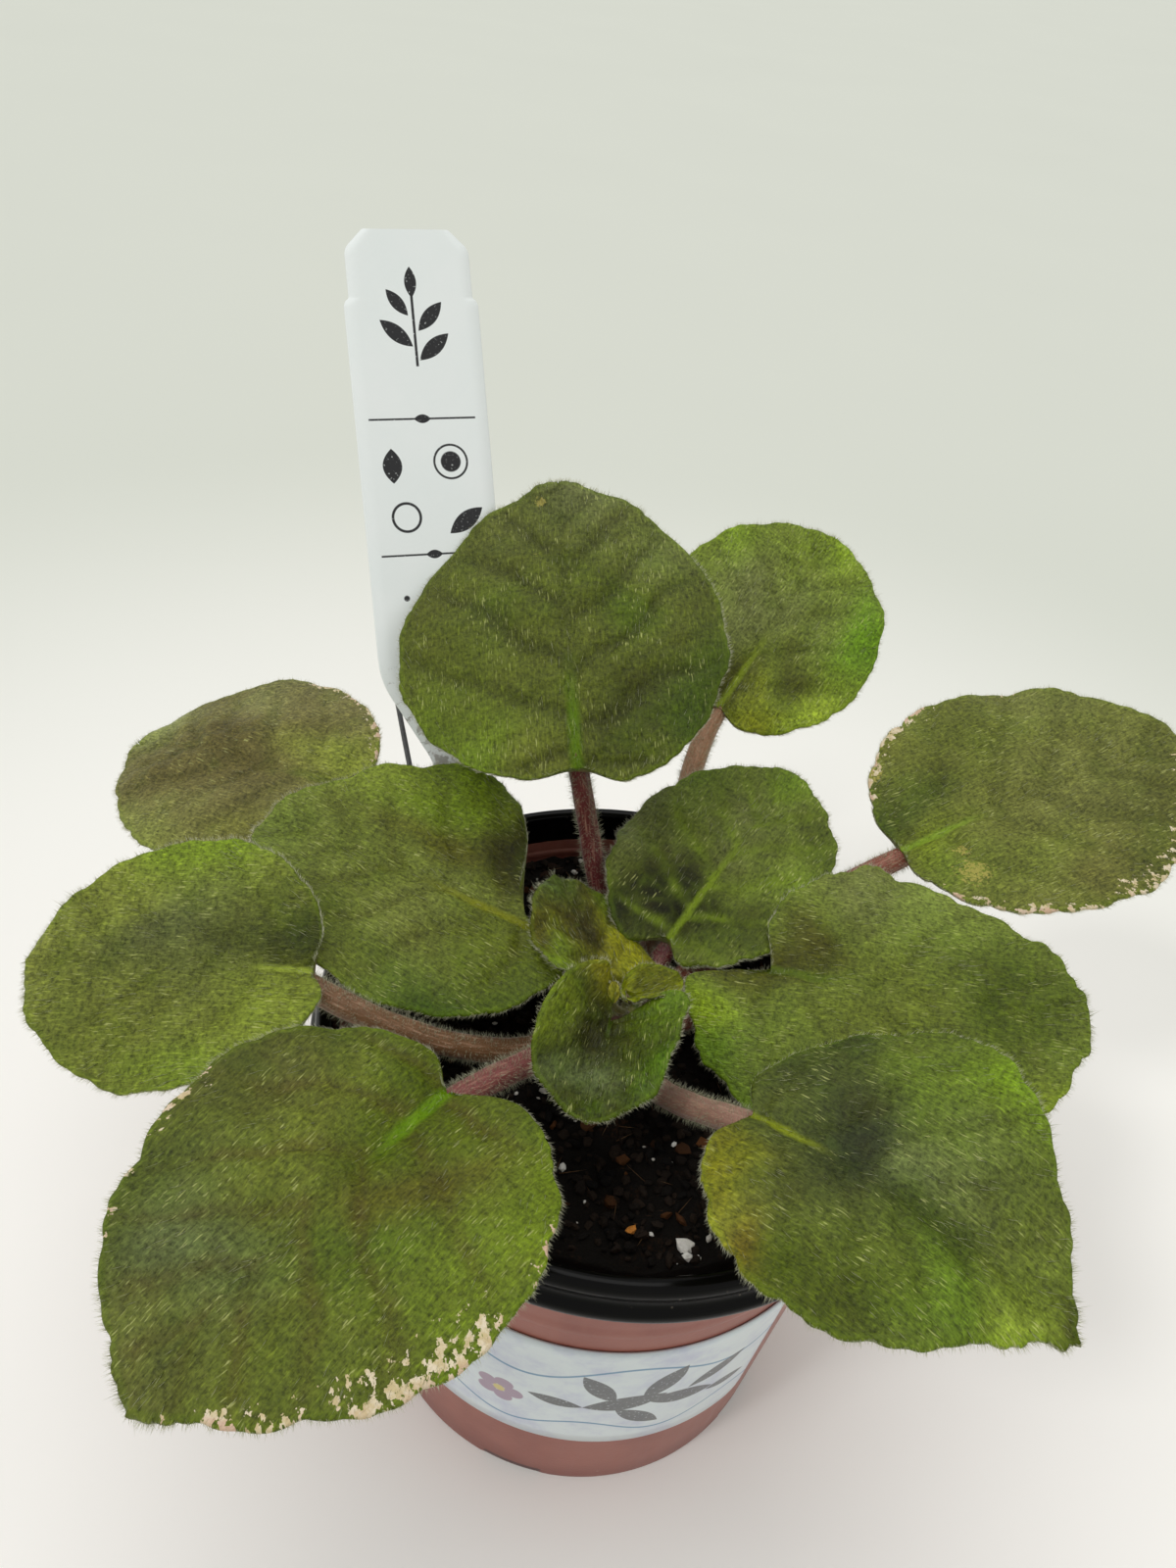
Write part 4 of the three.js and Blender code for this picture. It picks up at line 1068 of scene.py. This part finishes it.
def stalk_hairs(leaf, rng):
    """Longer hairs that stand off the stalk all round."""
    corners = stalk_path(leaf)
    length = np.linalg.norm(corners[3] - corners[0])
    count = int(HAIR.stalk_density * length * 2 * np.pi * leaf.stalk)
    s = rng.uniform(0.02, 0.96, count)
    turn = rng.uniform(0, 2 * np.pi, count)
    centre, side, up, way = stalk_frame(leaf, s)
    radial = side * np.cos(turn)[:, None] + up * np.sin(turn)[:, None]
    roots = centre + stalk_radius(leaf, s, turn)[:, None] * radial
    onwards = 0.35 * way * rng.uniform(-0.4, 1.6, (count, 1))
    ways = unit(radial + onwards + 0.22 * rng.normal(size=(count, 3)))
    lengths = rng.uniform(*HAIR.stalk_length, count) * min(1, leaf.length / 30 + 0.3)
    points, faces, grade = spikes(roots, ways, lengths, HAIR.edge_radius)
    return points, faces, 0.35 + 0.65 * grade


def hair_finish():
    """Glassy hair: green-grey at the root, near white at the tip, a little uneven."""
    f = Finish("plant hair", Specular_IOR_Level=0.6, Roughness=0.35, Alpha=0.72)
    patchy = f.noise(f.here(), 3.0)
    low = f.mix(patchy, (86, 100, 16), (108, 116, 34))
    high = f.mix(patchy, (214, 214, 172), (238, 236, 212))
    f.feed("Base Color", f.mix(f.mark("grade").rise(0.0, 0.95), low, high))
    return f


# Pot, label, soil.

def wall_radius(height):
    """The pot's outside radius at a height up to its neck."""
    return POT.base_radius + (POT.neck_radius - POT.base_radius) * height / POT.neck_height


def make_pot():
    """The wall and rim are one profile spun round, and drain slots press its radius in at the foot."""
    lip = POT.height - POT.lip_drop
    rim = POT.rim_radius
    inner = POT.rim_inner
    on_wall = [(wall_radius(height), height, 0.3) for height in (5, 12, 20, 30, 45)]
    slot_top = (POT.drain_height, POT.drain_height + POT.drain_edge)
    ring = wall_radius(POT.ring_height) + POT.ring_depth
    profile = rounded([
        (0, 0, 0), (POT.base_radius - 4, 0, 0.5), (POT.base_radius - 3.4, 0.5, 0.5),
        (POT.base_radius - 1.6, 0, 0.6), (POT.base_radius, 0.0, 0.6),
        *[(wall_radius(height), height, 0.05) for height in slot_top], *on_wall,
        (wall_radius(POT.ring_height - 1.4), POT.ring_height - 1.4, 0.4),
        (ring, POT.ring_height - 0.2, 0.5), (ring, POT.ring_height + 0.8, 0.5),
        (wall_radius(POT.ring_height + 2), POT.ring_height + 2, 0.6),
        (POT.neck_radius, POT.neck_height, 0.8), (rim - 2.2, lip - 0.35, 0.8), (rim - 0.3, lip - 0.1, 0.7),
        (rim, lip + POT.lip_band, 0.9), (rim - POT.groove_depth, lip + POT.groove_above, 1.6),
        (rim - POT.bead_back, POT.height - POT.bead_drop, 1.2), (rim - POT.bead_back - 1.0, POT.height, 1.0),
        (inner + POT.bead_width - 0.6, POT.height, 0.8), (inner, POT.height - POT.bead_drop / 3, 0.7),
        (inner - POT.bead_drop / 3, POT.height - POT.step_top, 1.0),
        (POT.neck_radius - POT.wall, POT.height - POT.step_bottom, 1.2),
        (wall_radius(20) - POT.wall, 20, 0.5), (wall_radius(POT.floor) - POT.wall, POT.floor, 1.0),
        (0, POT.floor, 0),
    ])

    def slot(radius, turn, height):
        """1 in a drain slot, 0 outside."""
        pitch = 2 * np.pi / POT.drains
        off = (turn - math.radians(POT.drain_first) + pitch / 2) % pitch - pitch / 2
        half = POT.drain_width / 2 / POT.base_radius
        inside = np.clip((half - np.abs(off)) / 0.02, 0, 1)
        low = np.clip((slot_top[1] - height) / POT.drain_edge, 0, 1)
        return inside * low * (radius > POT.base_radius - 2)

    def pressed_in(radius, turn, height):
        return radius - POT.drain_depth * slot(radius, turn, height)

    points, faces = spun(profile, POT.sides, pressed_in)
    middle = np.concatenate([points[block].mean(1) for block in faces])
    height = middle[:, 2]
    inside = (np.hypot(middle[:, 0], middle[:, 1]) < wall_radius(height) - 0.5) & (height > 0.9)
    black = (height > POT.neck_height + 0.2) | inside
    turn = np.arctan2(points[:, 1], points[:, 0])
    flat = np.stack([turn * POT.neck_radius, points[:, 2]], -1)
    # This mark is 1 in the drain slots, which the wall's colour paints with shade.
    slot_shade = slot(np.hypot(points[:, 0], points[:, 1]), turn, points[:, 2])
    finishes = [wall_finish(), rim_finish()]
    marks = {"slot_shade": slot_shade}
    piece("pot", points, faces, finishes, ["pot"], flat, marks, choice=black * 1)


def wall_finish():
    """Terracotta-coloured thin plastic: faint upright flow bands, dust specks, painted shade darker at the
    foot and painted shade in the drain slots.
    """
    f = Finish("terracotta plastic", Specular_IOR_Level=0.45, Coat_Roughness=0.3)
    here = f.here()
    _, _, height = f.parts(here)
    cloudy = f.noise(here, 16.0)
    bands = f.noise(f.scaled(here, (1, 1, 0.06)), 2.2)
    dust = f.cells(here, 3.4).rise(0.09, 0.04) * cloudy.rise(0.45, 0.7)
    tone = f.mix(cloudy.rise(0.3, 0.7), (136, 76, 65), (152, 92, 79))
    tone = f.mix(bands.rise(0.35, 0.75) * 0.2, tone, (166, 110, 96))
    # Painted shade: the wall darkens towards the floor over its lowest 9 mm.
    tone = f.mix(height.rise(9.0, 0.0) * 0.5, tone, (120, 62, 54))
    tone = f.mix(dust * 0.5, tone, (206, 180, 170))
    # Painted shade: the shallow drain slots are coloured dark red where their recess would lie in shadow.
    tone = f.mix(f.mark("slot_shade").rise(0.3, 0.8) * 0.85, tone, (62, 22, 20))
    f.dress(tone, 0.34 + bands * 0.14 + dust * 0.2, bands * 0.5 + f.noise(here, 0.7, 2.0) * 0.5, 0.06)
    return f


def rim_finish():
    """Black moulded plastic: satin with fine scratches along the turn and dust where soil was watered in."""
    f = Finish("black plastic", Specular_IOR_Level=0.12)
    here = f.here()
    cloudy = f.noise(here, 7.0, 4.0)
    scratches = f.noise(f.scaled(f.flat(), (0.12, 4.0, 0)), 1.0, 3.0, 0.7)
    dust = f.cells(here, 2.6).rise(0.1, 0.05) * cloudy.rise(0.4, 0.62)
    tone = f.mix(dust * 0.6, f.mix(cloudy, (3, 3, 3), (10, 9, 8)), (120, 112, 100))
    rough = 0.13 + cloudy * 0.12 + scratches.rise(0.5, 0.8) * 0.12 + dust * 0.3
    f.dress(tone, rough, scratches * 0.6 + cloudy * 0.4, 0.05)
    return f


def make_label():
    """A thin film round the wall. Each ring is its outer face from bottom to top and its inner face back,
    and the ends are rounded by drawing the height in."""
    angle = np.radians(np.linspace(LABEL.start, LABEL.end, LABEL.columns))
    across = (angle - angle.mean()) * wall_radius((LABEL.bottom + LABEL.top) / 2)
    from_end = np.minimum(across - across[0], across[-1] - across)
    near = np.clip(1 - from_end / LABEL.corner, 0, 1)
    drawn_in = LABEL.corner * (1 - np.sqrt(np.maximum(0, 1 - near ** 2)))
    low = LABEL.bottom + drawn_in
    high = LABEL.top - drawn_in
    rise = low[:, None] + (high - low)[:, None] * np.linspace(0, 1, LABEL.rows)
    height = np.concatenate([rise, rise[:, ::-1]], 1)
    radius = wall_radius(height) + np.repeat([LABEL.off_wall + LABEL.thickness, LABEL.off_wall], LABEL.rows)
    rings = around(radius, angle[:, None], height)
    points, faces = skin(rings, rings[0].mean(0), rings[-1].mean(0))
    across = with_poles(np.repeat(across, 2 * LABEL.rows), across[0], across[-1])
    flat = np.stack([across, points[:, 2] - LABEL.bottom], -1)
    piece("pot_label", points, faces, [label_finish()], ["pot_label"], flat=flat)


def off_spot(x, y, across, up):
    """Distance to a point on a flat map."""
    return ((x - across) * (x - across) + (y - up) * (y - up)).root()


def spot(x, y, across, up, radius):
    """Mask of a disc on a flat map."""
    return off_spot(x, y, across, up).rise(radius + 0.12, radius - 0.12)


def ring_mark(x, y, across, up, radius, line):
    """Mask of a ring on a flat map."""
    return abs(off_spot(x, y, across, up) - radius).rise(line / 2 + 0.08, line / 2 - 0.08)


def leaf_mark(x, y, across, up, length, width, degrees):
    """Mask of a plain pointed leaf on a flat map: as wide as a parabola along its length."""
    cosine, sine = math.cos(math.radians(degrees)), math.sin(math.radians(degrees))
    along = ((x - across) * cosine + (y - up) * sine) / (length / 2)
    aside = abs((y - up) * cosine - (x - across) * sine) / (width / 2)
    return (aside + along * along).rise(1.04, 0.96)


def bar_mark(x, y, across, up, length, width):
    """Mask of a level bar on a flat map."""
    inside = abs(x - across).rise(length / 2 + 0.08, length / 2 - 0.08)
    return inside * abs(y - up).rise(width / 2 + 0.06, width / 2 - 0.06)


def any_of(masks):
    """One mask of several."""
    whole = masks[0]
    for mask in masks[1:]:
        whole = whole.most(mask)
    return whole


def label_finish():
    """Pale printed film: two thin blue waves, a sprig of plain grey leaves, a mauve blossom of dots."""
    f = Finish("printed film", Specular_IOR_Level=0.5, Coat_Weight=0.25, Coat_Roughness=0.18)
    flat = f.flat()
    x, y, _ = f.parts(flat)
    cloudy = f.noise(flat, 11.0, 4.0, 0.65)
    fibre = f.noise(flat, 0.6, 2.0)
    paper = f.mix(cloudy.rise(0.4, 0.72), (214, 224, 226), (188, 194, 214))
    paper = f.mix(fibre * 0.2, paper, (232, 234, 232))
    high_wave = abs(y - 29 - 3.4 * (x * 0.16).sine()).rise(0.46, 0.22)
    low_wave = abs(y - 7 - 2.2 * (x * 0.22 + 1.0).sine()).rise(0.4, 0.18)
    paper = f.mix(high_wave.most(low_wave) * 0.85, paper, (66, 128, 166))
    sprig = any_of([leaf_mark(x, y, *leaf) for leaf in LABEL.leaves])
    paper = f.mix(sprig * fibre.rise(0.2, 0.42) * 0.9, paper, (66, 68, 70))
    middle, up = LABEL.blossom
    petals = []
    for degrees in range(0, 360, 72):
        turn = math.radians(degrees)
        petals.append(spot(x, y, middle + 2.7 * math.cos(turn), up + 2.7 * math.sin(turn), 1.8))
    paper = f.mix(any_of(petals) * 0.8, paper, (148, 112, 138))
    paper = f.mix(spot(x, y, middle, up, 1.1), paper, (206, 190, 120))
    f.dress(paper, 0.36 + cloudy * 0.12, f.noise(flat, 5.0, 2.0) * 0.7 + fibre * 0.3, 0.08)
    return f


def soil_height(x, y):
    """The solid's gentle lumps and hollow, with finer crumbling laid over them."""
    lumps = np.sin(0.31 * x + 1.3) * np.cos(0.27 * y) + 0.6 * np.sin(0.53 * y - 0.4 * x)
    hollow = bell(np.hypot(x, y) / SOIL.hollow_width)
    fine = 0.3 * waves(x, y, 5, 81, 24) + 0.22 * waves(x, y, 2.2, 82, 30)
    return SOIL.level + SOIL.bumps * lumps - SOIL.hollow * hollow + fine


def on_soil(places, above=0.0):
    """Points over flat places, so far above the soil."""
    return np.column_stack([places, soil_height(places[:, 0], places[:, 1]) + above])


def make_soil():
    """Rings from the bottom's middle out, up the side and in again over the crumbled top."""
    bottom = POT.floor + GAP
    top_radius = wall_radius(POT.height - POT.step_bottom) - POT.wall - GAP
    turn = turns(SOIL.sides)
    top = around(top_radius * np.linspace(1, 0, SOIL.rings)[:-1, None] ** 0.9, turn, 0.0)
    top[..., 2] = soil_height(top[..., 0], top[..., 1])
    foot = around(wall_radius(bottom) - POT.wall - GAP, turn, bottom)
    points, faces = skin(np.concatenate([foot[None], top]), (0, 0, bottom), (0, 0, SOIL.level - SOIL.hollow))
    piece("soil", points, faces, [soil_finish()], ["soil"])


def soil_finish():
    """Damp peat: near black, with brown patches and threads of dry crumbs."""
    f = Finish("peat", Specular_IOR_Level=0.14)
    here = f.here()
    grain = f.noise(here, 0.9, 5.0, 0.7)
    dry = f.noise(here, 6.0, 4.0).rise(0.52, 0.7) * grain.rise(0.45, 0.7)
    threads = f.noise(f.scaled(here, (0.5, 2.4, 1)), 1.2, 4.0, 0.7)
    tone = f.mix(dry * 0.8, f.mix(grain, (4, 3, 2), (20, 15, 10)), (58, 36, 20))
    tone = f.mix(threads.rise(0.66, 0.74) * 0.6, tone, (92, 64, 40))
    f.dress(tone, 0.7 + grain * 0.25, grain * 0.7 + threads * 0.3, 0.8)
    return f


def icosahedron():
    """The twelve corners and twenty faces of a unit icosahedron."""
    golden = (1 + math.sqrt(5)) / 2
    corners = []
    for a in (-1, 1):
        for b in (-golden, golden):
            corners += [(0, a, b), (a, b, 0), (b, 0, a)]
    corners = unit(np.array(corners))
    near = np.linalg.norm(corners[:, None] - corners[None], axis=-1) < 1.1
    faces = [
        (i, j, k) for i in range(12) for j in range(i + 1, 12) for k in range(j + 1, 12)
        if near[i, j] and near[j, k] and near[i, k]
    ]
    faces = [
        face if np.dot(np.cross(corners[face[0]], corners[face[1]]), corners[face[2]]) > 0 else face[::-1]
        for face in faces
    ]
    return corners, np.array(faces)


def turned(first, second, angle):
    """Two coordinates of each body turned by its angle."""
    cosine, sine = np.cos(angle)[:, None], np.sin(angle)[:, None]
    return first * cosine - second * sine, first * sine + second * cosine


def crumbs(name, finish, rng, places, sizes, flatness, jitter, rest):
    """Jittered, squashed and turned icosahedra, each resting on the soil at its place."""
    corners, faces = icosahedron()
    count = len(sizes)
    shape = corners[None] * (1 + jitter * rng.uniform(-1, 1, (count, 12, 1)))
    length, width, height = (rng.uniform(*limits, count) for limits in ((0.8, 1.3), (0.55, 1.0), (0.6, 1.1)))
    shape = shape * np.stack([length, width, flatness * height], -1)[:, None]
    tilt = rng.normal(0, 0.45, count)
    spin = rng.uniform(0, 2 * np.pi, count)
    y, z = turned(shape[..., 1], shape[..., 2], tilt)
    x, y = turned(shape[..., 0], y, spin)
    solid = np.stack([x, y, z], -1) * sizes[:, None, None] / 2
    points = (solid + on_soil(places, rest * flatness * sizes)[:, None]).reshape(-1, 3)
    blocks = (faces + 12 * np.arange(count)[:, None, None]).reshape(-1, 3)
    shade = np.repeat(rng.uniform(0, 1, count), 12)
    piece(name, points, [blocks], [finish], marks={"shade": shade}, smooth=False)


def scattered(rng, count, inner, outer=45.0):
    """Places spread evenly over the soil between two radii."""
    radius = np.sqrt(rng.uniform(inner ** 2, outer ** 2, count))
    turn = rng.uniform(0, 2 * np.pi, count)
    return around(radius, turn, 0.0)[:, :2]


def crumb_finish(name, dark, light, rough, grain_size):
    """One kind of bit in the mix: its own shade, grain and pits."""
    f = Finish(name, Specular_IOR_Level=0.16)
    grain = f.noise(f.here(), grain_size, 4.0, 0.7)
    tone = f.mix(f.mark("shade"), dark, light)
    f.dress(f.shade(tone, 0.65 + grain * 0.7), rough + grain * 0.15, grain, 0.3)
    return f


def make_soil_bits():
    """Loose bits on the mix, some strewn and some where they lie in the real pot, and short fibres."""
    rng = np.random.default_rng(2027)
    perlite = crumb_finish("perlite", (196, 190, 180), (244, 242, 236), 0.6, 0.4)
    peat = crumb_finish("peat crumbs", (6, 5, 4), (36, 26, 18), 0.75, 0.5)
    bark = crumb_finish("bark chips", (26, 16, 8), (84, 50, 22), 0.7, 0.7)
    for name, finish, count, inner, least, most, power, shape in (
        ("peat_crumbs", peat, 2300, 7.5, 0.7, 2.1, 1.2, (0.75, 0.3, 0.25)),
        ("bark_chips", bark, 110, 12, 1.0, 3.0, 1.0, (0.6, 0.5, 0.3)),
        ("perlite", perlite, 120, 9, 0.4, 1.35, 1.6, (0.85, 0.28, 0.5)),
    ):
        places = scattered(rng, count, inner)
        crumbs(name, finish, rng, places, rng.uniform(least, most, count) ** power, *shape)
    chips = crumb_finish("orange chips", (176, 104, 36), (214, 150, 72), 0.6, 0.8)
    for name, finish, bits, shape in (
        ("perlite_bits", perlite, SOIL.perlite, (0.7, 0.3, 0.45)),
        ("orange_chips", chips, SOIL.chips, (0.5, 0.25, 0.6)),
    ):
        bits = np.array(bits)
        crumbs(name, finish, rng, bits[:, :2], bits[:, 2], *shape)
    count = 150
    places = scattered(rng, count, 9)
    turn = rng.uniform(0, 2 * np.pi, count)
    ways = unit(around(1.0, turn, rng.uniform(-0.05, 0.3, count)))
    points, faces, grade = spikes(on_soil(places, 0.5), ways, rng.uniform(1.5, 5.0, count), 0.09)
    fibre = crumb_finish("peat fibres", (70, 48, 30), (150, 116, 80), 0.7, 0.6)
    piece("peat_fibres", points, [faces], [fibre], marks={"shade": grade})


# Crown, tag and stick.

def make_crown():
    """A lumpy dome on the solid's profile, swollen where the stalks leave it."""
    c = CROWN
    profile = rounded([
        (0, c.foot, 0), (c.foot_radius, c.foot, 1), (c.radius, c.waist, 1.5), (c.radius, c.shoulder - 1, 2),
        (c.top_radius, c.top - 1, 1.5), (c.top_radius - 2.5, c.top + 0.4, 1), (0, c.top + 0.6, 0),
    ])

    def swollen(radius, turn, height):
        return radius * (1 + 0.07 * np.sin(5 * turn + 0.25 * height) + 0.05 * np.sin(9 * turn - 0.5 * height))

    points, faces = spun(profile, c.sides, swollen)
    f = Finish("crown", Sheen_Weight=0.3, Specular_IOR_Level=0.35)
    here = f.here()
    blotch = f.noise(here, 2.4, 4.0)
    fine = f.noise(here, 0.4)
    tone = f.mix(blotch.rise(0.35, 0.65), (86, 52, 40), (96, 104, 48))
    f.dress(f.shade(tone, 0.7 + fine * 0.6), 0.5 + fine * 0.2, blotch * 0.5 + fine * 0.5, 0.3)
    piece("crown", points, faces, [f], ["crown"])


def tag_axes():
    """Across, up and out of the tag from its turn and its two leans, as rows."""
    left, back, turn = np.radians([TAG.lean_left, TAG.lean_back, TAG.turn])
    up = unit(np.array([-np.sin(left), np.sin(back), 1]))
    across = np.array([np.cos(turn), np.sin(turn), 0])
    across = unit(across - across.dot(up) * up)
    return np.stack([across, up, np.cross(across, up)])


def make_tag():
    """A flat stake. Each ring is one cross cut with rounded edges, and its half width follows the outline
    from the point to the head."""
    half, head, tail = TAG.width / 2, TAG.head_width / 2, TAG.tail_width / 2
    outline = rounded([
        (0.3, -TAG.buried, 0), (tail, TAG.point - TAG.buried, 1.5), (tail, TAG.taper_end, 3),
        (half, TAG.taper_top, 4), (half, TAG.shoulder - 0.5, 0.6), (half - 0.35, TAG.shoulder + 0.3, 0.3),
        (head, TAG.shoulder + TAG.notch, 0.3), (head, TAG.top - TAG.corner, 1.2),
        (head - TAG.corner, TAG.top, 1.2), (head - TAG.corner - 0.4, TAG.top, 0),
    ], 6)
    along = outline[:, 1:]
    face = TAG.thickness / 2
    flat_half = outline[:, :1] - face
    spread = np.linspace(-1, 1, 12)[1:-1]
    round_edge = np.radians([60, 20, -20, -60])
    round_out = face * np.cos(round_edge)
    round_up = face * np.sin(round_edge)
    x = np.concatenate([
        spread * flat_half, flat_half + round_out, spread[::-1] * flat_half, -flat_half - round_out,
    ], 1)
    x = np.where(outline[:, :1] < 2 * face, x * 0.3, x)
    z = np.concatenate([np.full(len(spread), face), round_up, np.full(len(spread), -face), -round_up])
    rings = np.stack(np.broadcast_arrays(x, along, z), -1)
    points, faces = skin(rings, (0, along[0, 0] - 0.2, 0), (0, along[-1, 0] + 0.02, 0))
    bow = 0.00035 * np.maximum(0, points[:, 1]) * (points[:, 0] / half) ** 2
    flat = points[:, :2].copy()
    front = (points[:, 2] > 0).astype(float)
    points[:, 2] += bow
    world = np.array([TAG.x, TAG.y, SOIL.level]) + points @ tag_axes()
    piece("plant_tag", world, faces, [tag_finish()], ["plant_tag"], flat, {"front": front})


def tag_finish():
    """White stake plastic, faintly blue, with plain printed marks and brownish-grey blotches towards the
    foot.
    """
    f = Finish("tag plastic", Specular_IOR_Level=0.45)
    flat = f.flat()
    x, y, _ = f.parts(flat)
    cloudy = f.noise(flat, 14.0)
    fine = f.noise(flat, 0.5)
    ink = any_of([
        *[bar_mark(x, y, 0, up, 20, 0.35) for up in (91, 66)], bar_mark(x, y, 0, 107, 0.5, 13),
        *[leaf_mark(x, y, *leaf) for leaf in TAG.leaves],
        spot(x, y, 4.6, 83, 1.9), ring_mark(x, y, 4.6, 83, 3.1, 0.4), ring_mark(x, y, -4.6, 73, 2.6, 0.5),
        *[spot(x, y, across, 58, 0.55) for across in (-6, -3, 0, 3, 6)],
    ])
    white = f.mix(cloudy, (238, 245, 243), (247, 250, 249))
    printed = f.mix(ink * fine.rise(0.2, 0.4) * f.mark("front"), white, (34, 34, 36))
    # Brownish-grey blotches, denser towards the foot of the tag.
    foot_blotches = (y.rise(62, 20) * 0.25 + f.noise(flat, 2.0, 4.0, 0.7)).rise(0.7, 0.8) * y.rise(60, 52)
    tone = f.mix(foot_blotches * 0.6, printed, (120, 108, 92))
    f.dress(tone, 0.32 + cloudy * 0.15 + foot_blotches * 0.2, fine * 0.5 + cloudy * 0.5, 0.05)
    return f


def make_stick():
    """A thin square rod, narrower at the top, along the solid's line."""
    base, top = np.array(STICK.base, float), np.array(STICK.top, float)
    way = unit(top - base)
    low = base - way * STICK.buried
    side = unit(np.cross(way, [0, 0, 1.0]))
    other = np.cross(side, way)
    turn = turns(12) + np.pi / 12
    across, out = (np.sign(wave) * np.abs(wave) ** 0.6 for wave in (np.cos(turn), np.sin(turn)))
    s = np.linspace(0, 1, 20)[:, None]
    half = STICK.width / 2 * (1.05 - 0.25 * s) * (1 + 0.05 * np.sin(17 * s))
    section = across[:, None] * side + out[:, None] * other
    rings = (low + (top - low) * s)[:, None] + half[..., None] * section
    points, faces = skin(rings, low - way * 0.2, top + way * 0.2)
    f = Finish("stick", Specular_IOR_Level=0.4)
    grain = f.noise(f.scaled(f.here(), (2.5, 2.5, 0.4)), 1.0)
    f.dress(f.mix(grain, (52, 52, 54), (112, 112, 114)), 0.35 + grain * 0.25, grain, 0.1)
    piece("tag_stick", points, faces, [f], ["tag_stick"])


# The plant.

def make_leaf(entry, seed, hair):
    """One leaf of the table: its blade, its stalk and the hairs on both."""
    leaf = SimpleNamespace(**{**LEAF, **entry})
    leaf.seed = seed
    leaf.size = leaf.length / BLADE.usual_length
    leaf.rows, leaf.columns, leaf.under = BLADE.few if leaf.length < BLADE.small else BLADE.many
    points, faces, flat, marks, tints = blade_body(leaf)
    blade = f"blade_{leaf.name}"
    piece(blade, points, faces, [leaf_finish(leaf)], [blade], flat, marks, tints)
    points, faces, flat, marks = stalk_body(leaf)
    stalk = f"petiole_{leaf.name}"
    piece(stalk, points, faces, [stalk_finish(leaf)], [stalk], flat, marks)
    rng = np.random.default_rng(seed)
    groups = [
        blade_hairs(leaf, rng, HAIR.density * leaf.fuzz, False),
        blade_hairs(leaf, rng, HAIR.under_density, True),
        edge_hairs(leaf, rng),
        stalk_hairs(leaf, rng),
    ]
    points, faces = joined([(points, [faces]) for points, faces, _ in groups])
    grade = np.concatenate([grade for _, _, grade in groups])
    piece(f"hairs_{leaf.name}", points, faces, [hair], marks={"grade": grade})


def make_plant():
    """Every leaf of the table, each with its own seed."""
    hair = hair_finish()
    for number, entry in enumerate(LEAVES):
        make_leaf(entry, 100 + 10 * number, hair)


# Floor, light and camera.

def make_floor():
    """A wide level sheet, near white round the pot as painted light that offsets the plant's shadow, and a
    little greyer far off.
    """
    f = Finish("floor", Specular_IOR_Level=0.1)
    here = f.here()
    x, y, _ = f.parts(here)
    soft = f.noise(here, 260.0, 2.0)
    # Painted light: the floor is paler near the pot to lift the shadow that the plant casts there.
    near, far = 80, 460
    tone = f.mix((x * x + y * y).root().rise(near, far), (254, 252, 248), (214, 217, 207))
    f.feed("Base Color", f.shade(tone, 0.985 + soft * 0.03))
    f.feed("Roughness", 0.8 + soft * 0.1)
    mesh = bpy.data.meshes.new("floor")
    reach = 12.0
    corners = [(-reach, -reach, 0), (reach, -reach, 0), (reach, reach, 0), (-reach, reach, 0)]
    mesh.from_pydata(corners, [], [(0, 1, 2, 3)])
    mesh.materials.append(f.material)
    made = bpy.data.objects.new("floor", mesh)
    bpy.context.scene.collection.objects.link(made)


def add_sun(name, place, power, spread, tone):
    """A broad far light that shines from place towards the plant."""
    lamp = bpy.data.lights.new(name, "SUN")
    lamp.angle = math.radians(spread)
    lamp.energy = power
    lamp.color = tone
    made = bpy.data.objects.new(name, lamp)
    made.location = place
    made.rotation_euler = (-Vector(place)).to_track_quat("-Z", "Y").to_euler()
    bpy.context.scene.collection.objects.link(made)


def light_scene():
    """An even room light, a broad light overhead and a narrower one from the left front."""
    scene = bpy.context.scene
    scene.world = bpy.data.worlds.new("room")
    scene.world.use_nodes = True
    background = scene.world.node_tree.nodes["Background"]
    background.inputs["Color"].default_value = (1.0, 1.0, 0.985, 1)
    background.inputs["Strength"].default_value = 0.62
    add_sun("ceiling light", (-0.15, 0.25, 1.0), 0.9, 50, (1.0, 1.0, 0.98))
    add_sun("window light", (-0.5, -0.5, 0.8), 0.5, 9, (1.0, 1.0, 1.0))
    scene.view_settings.view_transform = "Standard"
    scene.view_settings.look = "None"


def make_camera():
    """Looks at the rim from its distance and elevation, then pans, tilts and rolls, as the photograph did."""
    c = CAMERA
    back = np.array([0, -math.cos(c.elevation), math.sin(c.elevation)])
    aside = np.array([1.0, 0, 0])
    level = np.stack([aside, np.cross(back, aside), back])
    rolled = np.array(Matrix.Rotation(c.roll, 3, "Z"))
    tilted = np.array(Matrix.Rotation(c.tilt, 3, "X"))
    panned = np.array(Matrix.Rotation(c.pan, 3, "Y"))
    rows = rolled @ tilted @ panned @ level
    lens = bpy.data.cameras.new("camera")
    lens.lens = c.lens
    lens.sensor_width = c.sensor
    lens.clip_start = c.nearest
    lens.clip_end = c.farthest
    camera = bpy.data.objects.new("camera", lens)
    place = Matrix(rows.T.tolist()).to_4x4()
    place.translation = (np.array([0, 0, c.target_height]) + c.distance * back) * MM
    camera.matrix_world = place
    bpy.context.scene.collection.objects.link(camera)
    bpy.context.scene.camera = camera


make_camera()
light_scene()
make_floor()
make_pot()
make_label()
make_soil()
make_soil_bits()
make_crown()
make_tag()
make_stick()
make_plant()

bpy.context.view_layer.update()
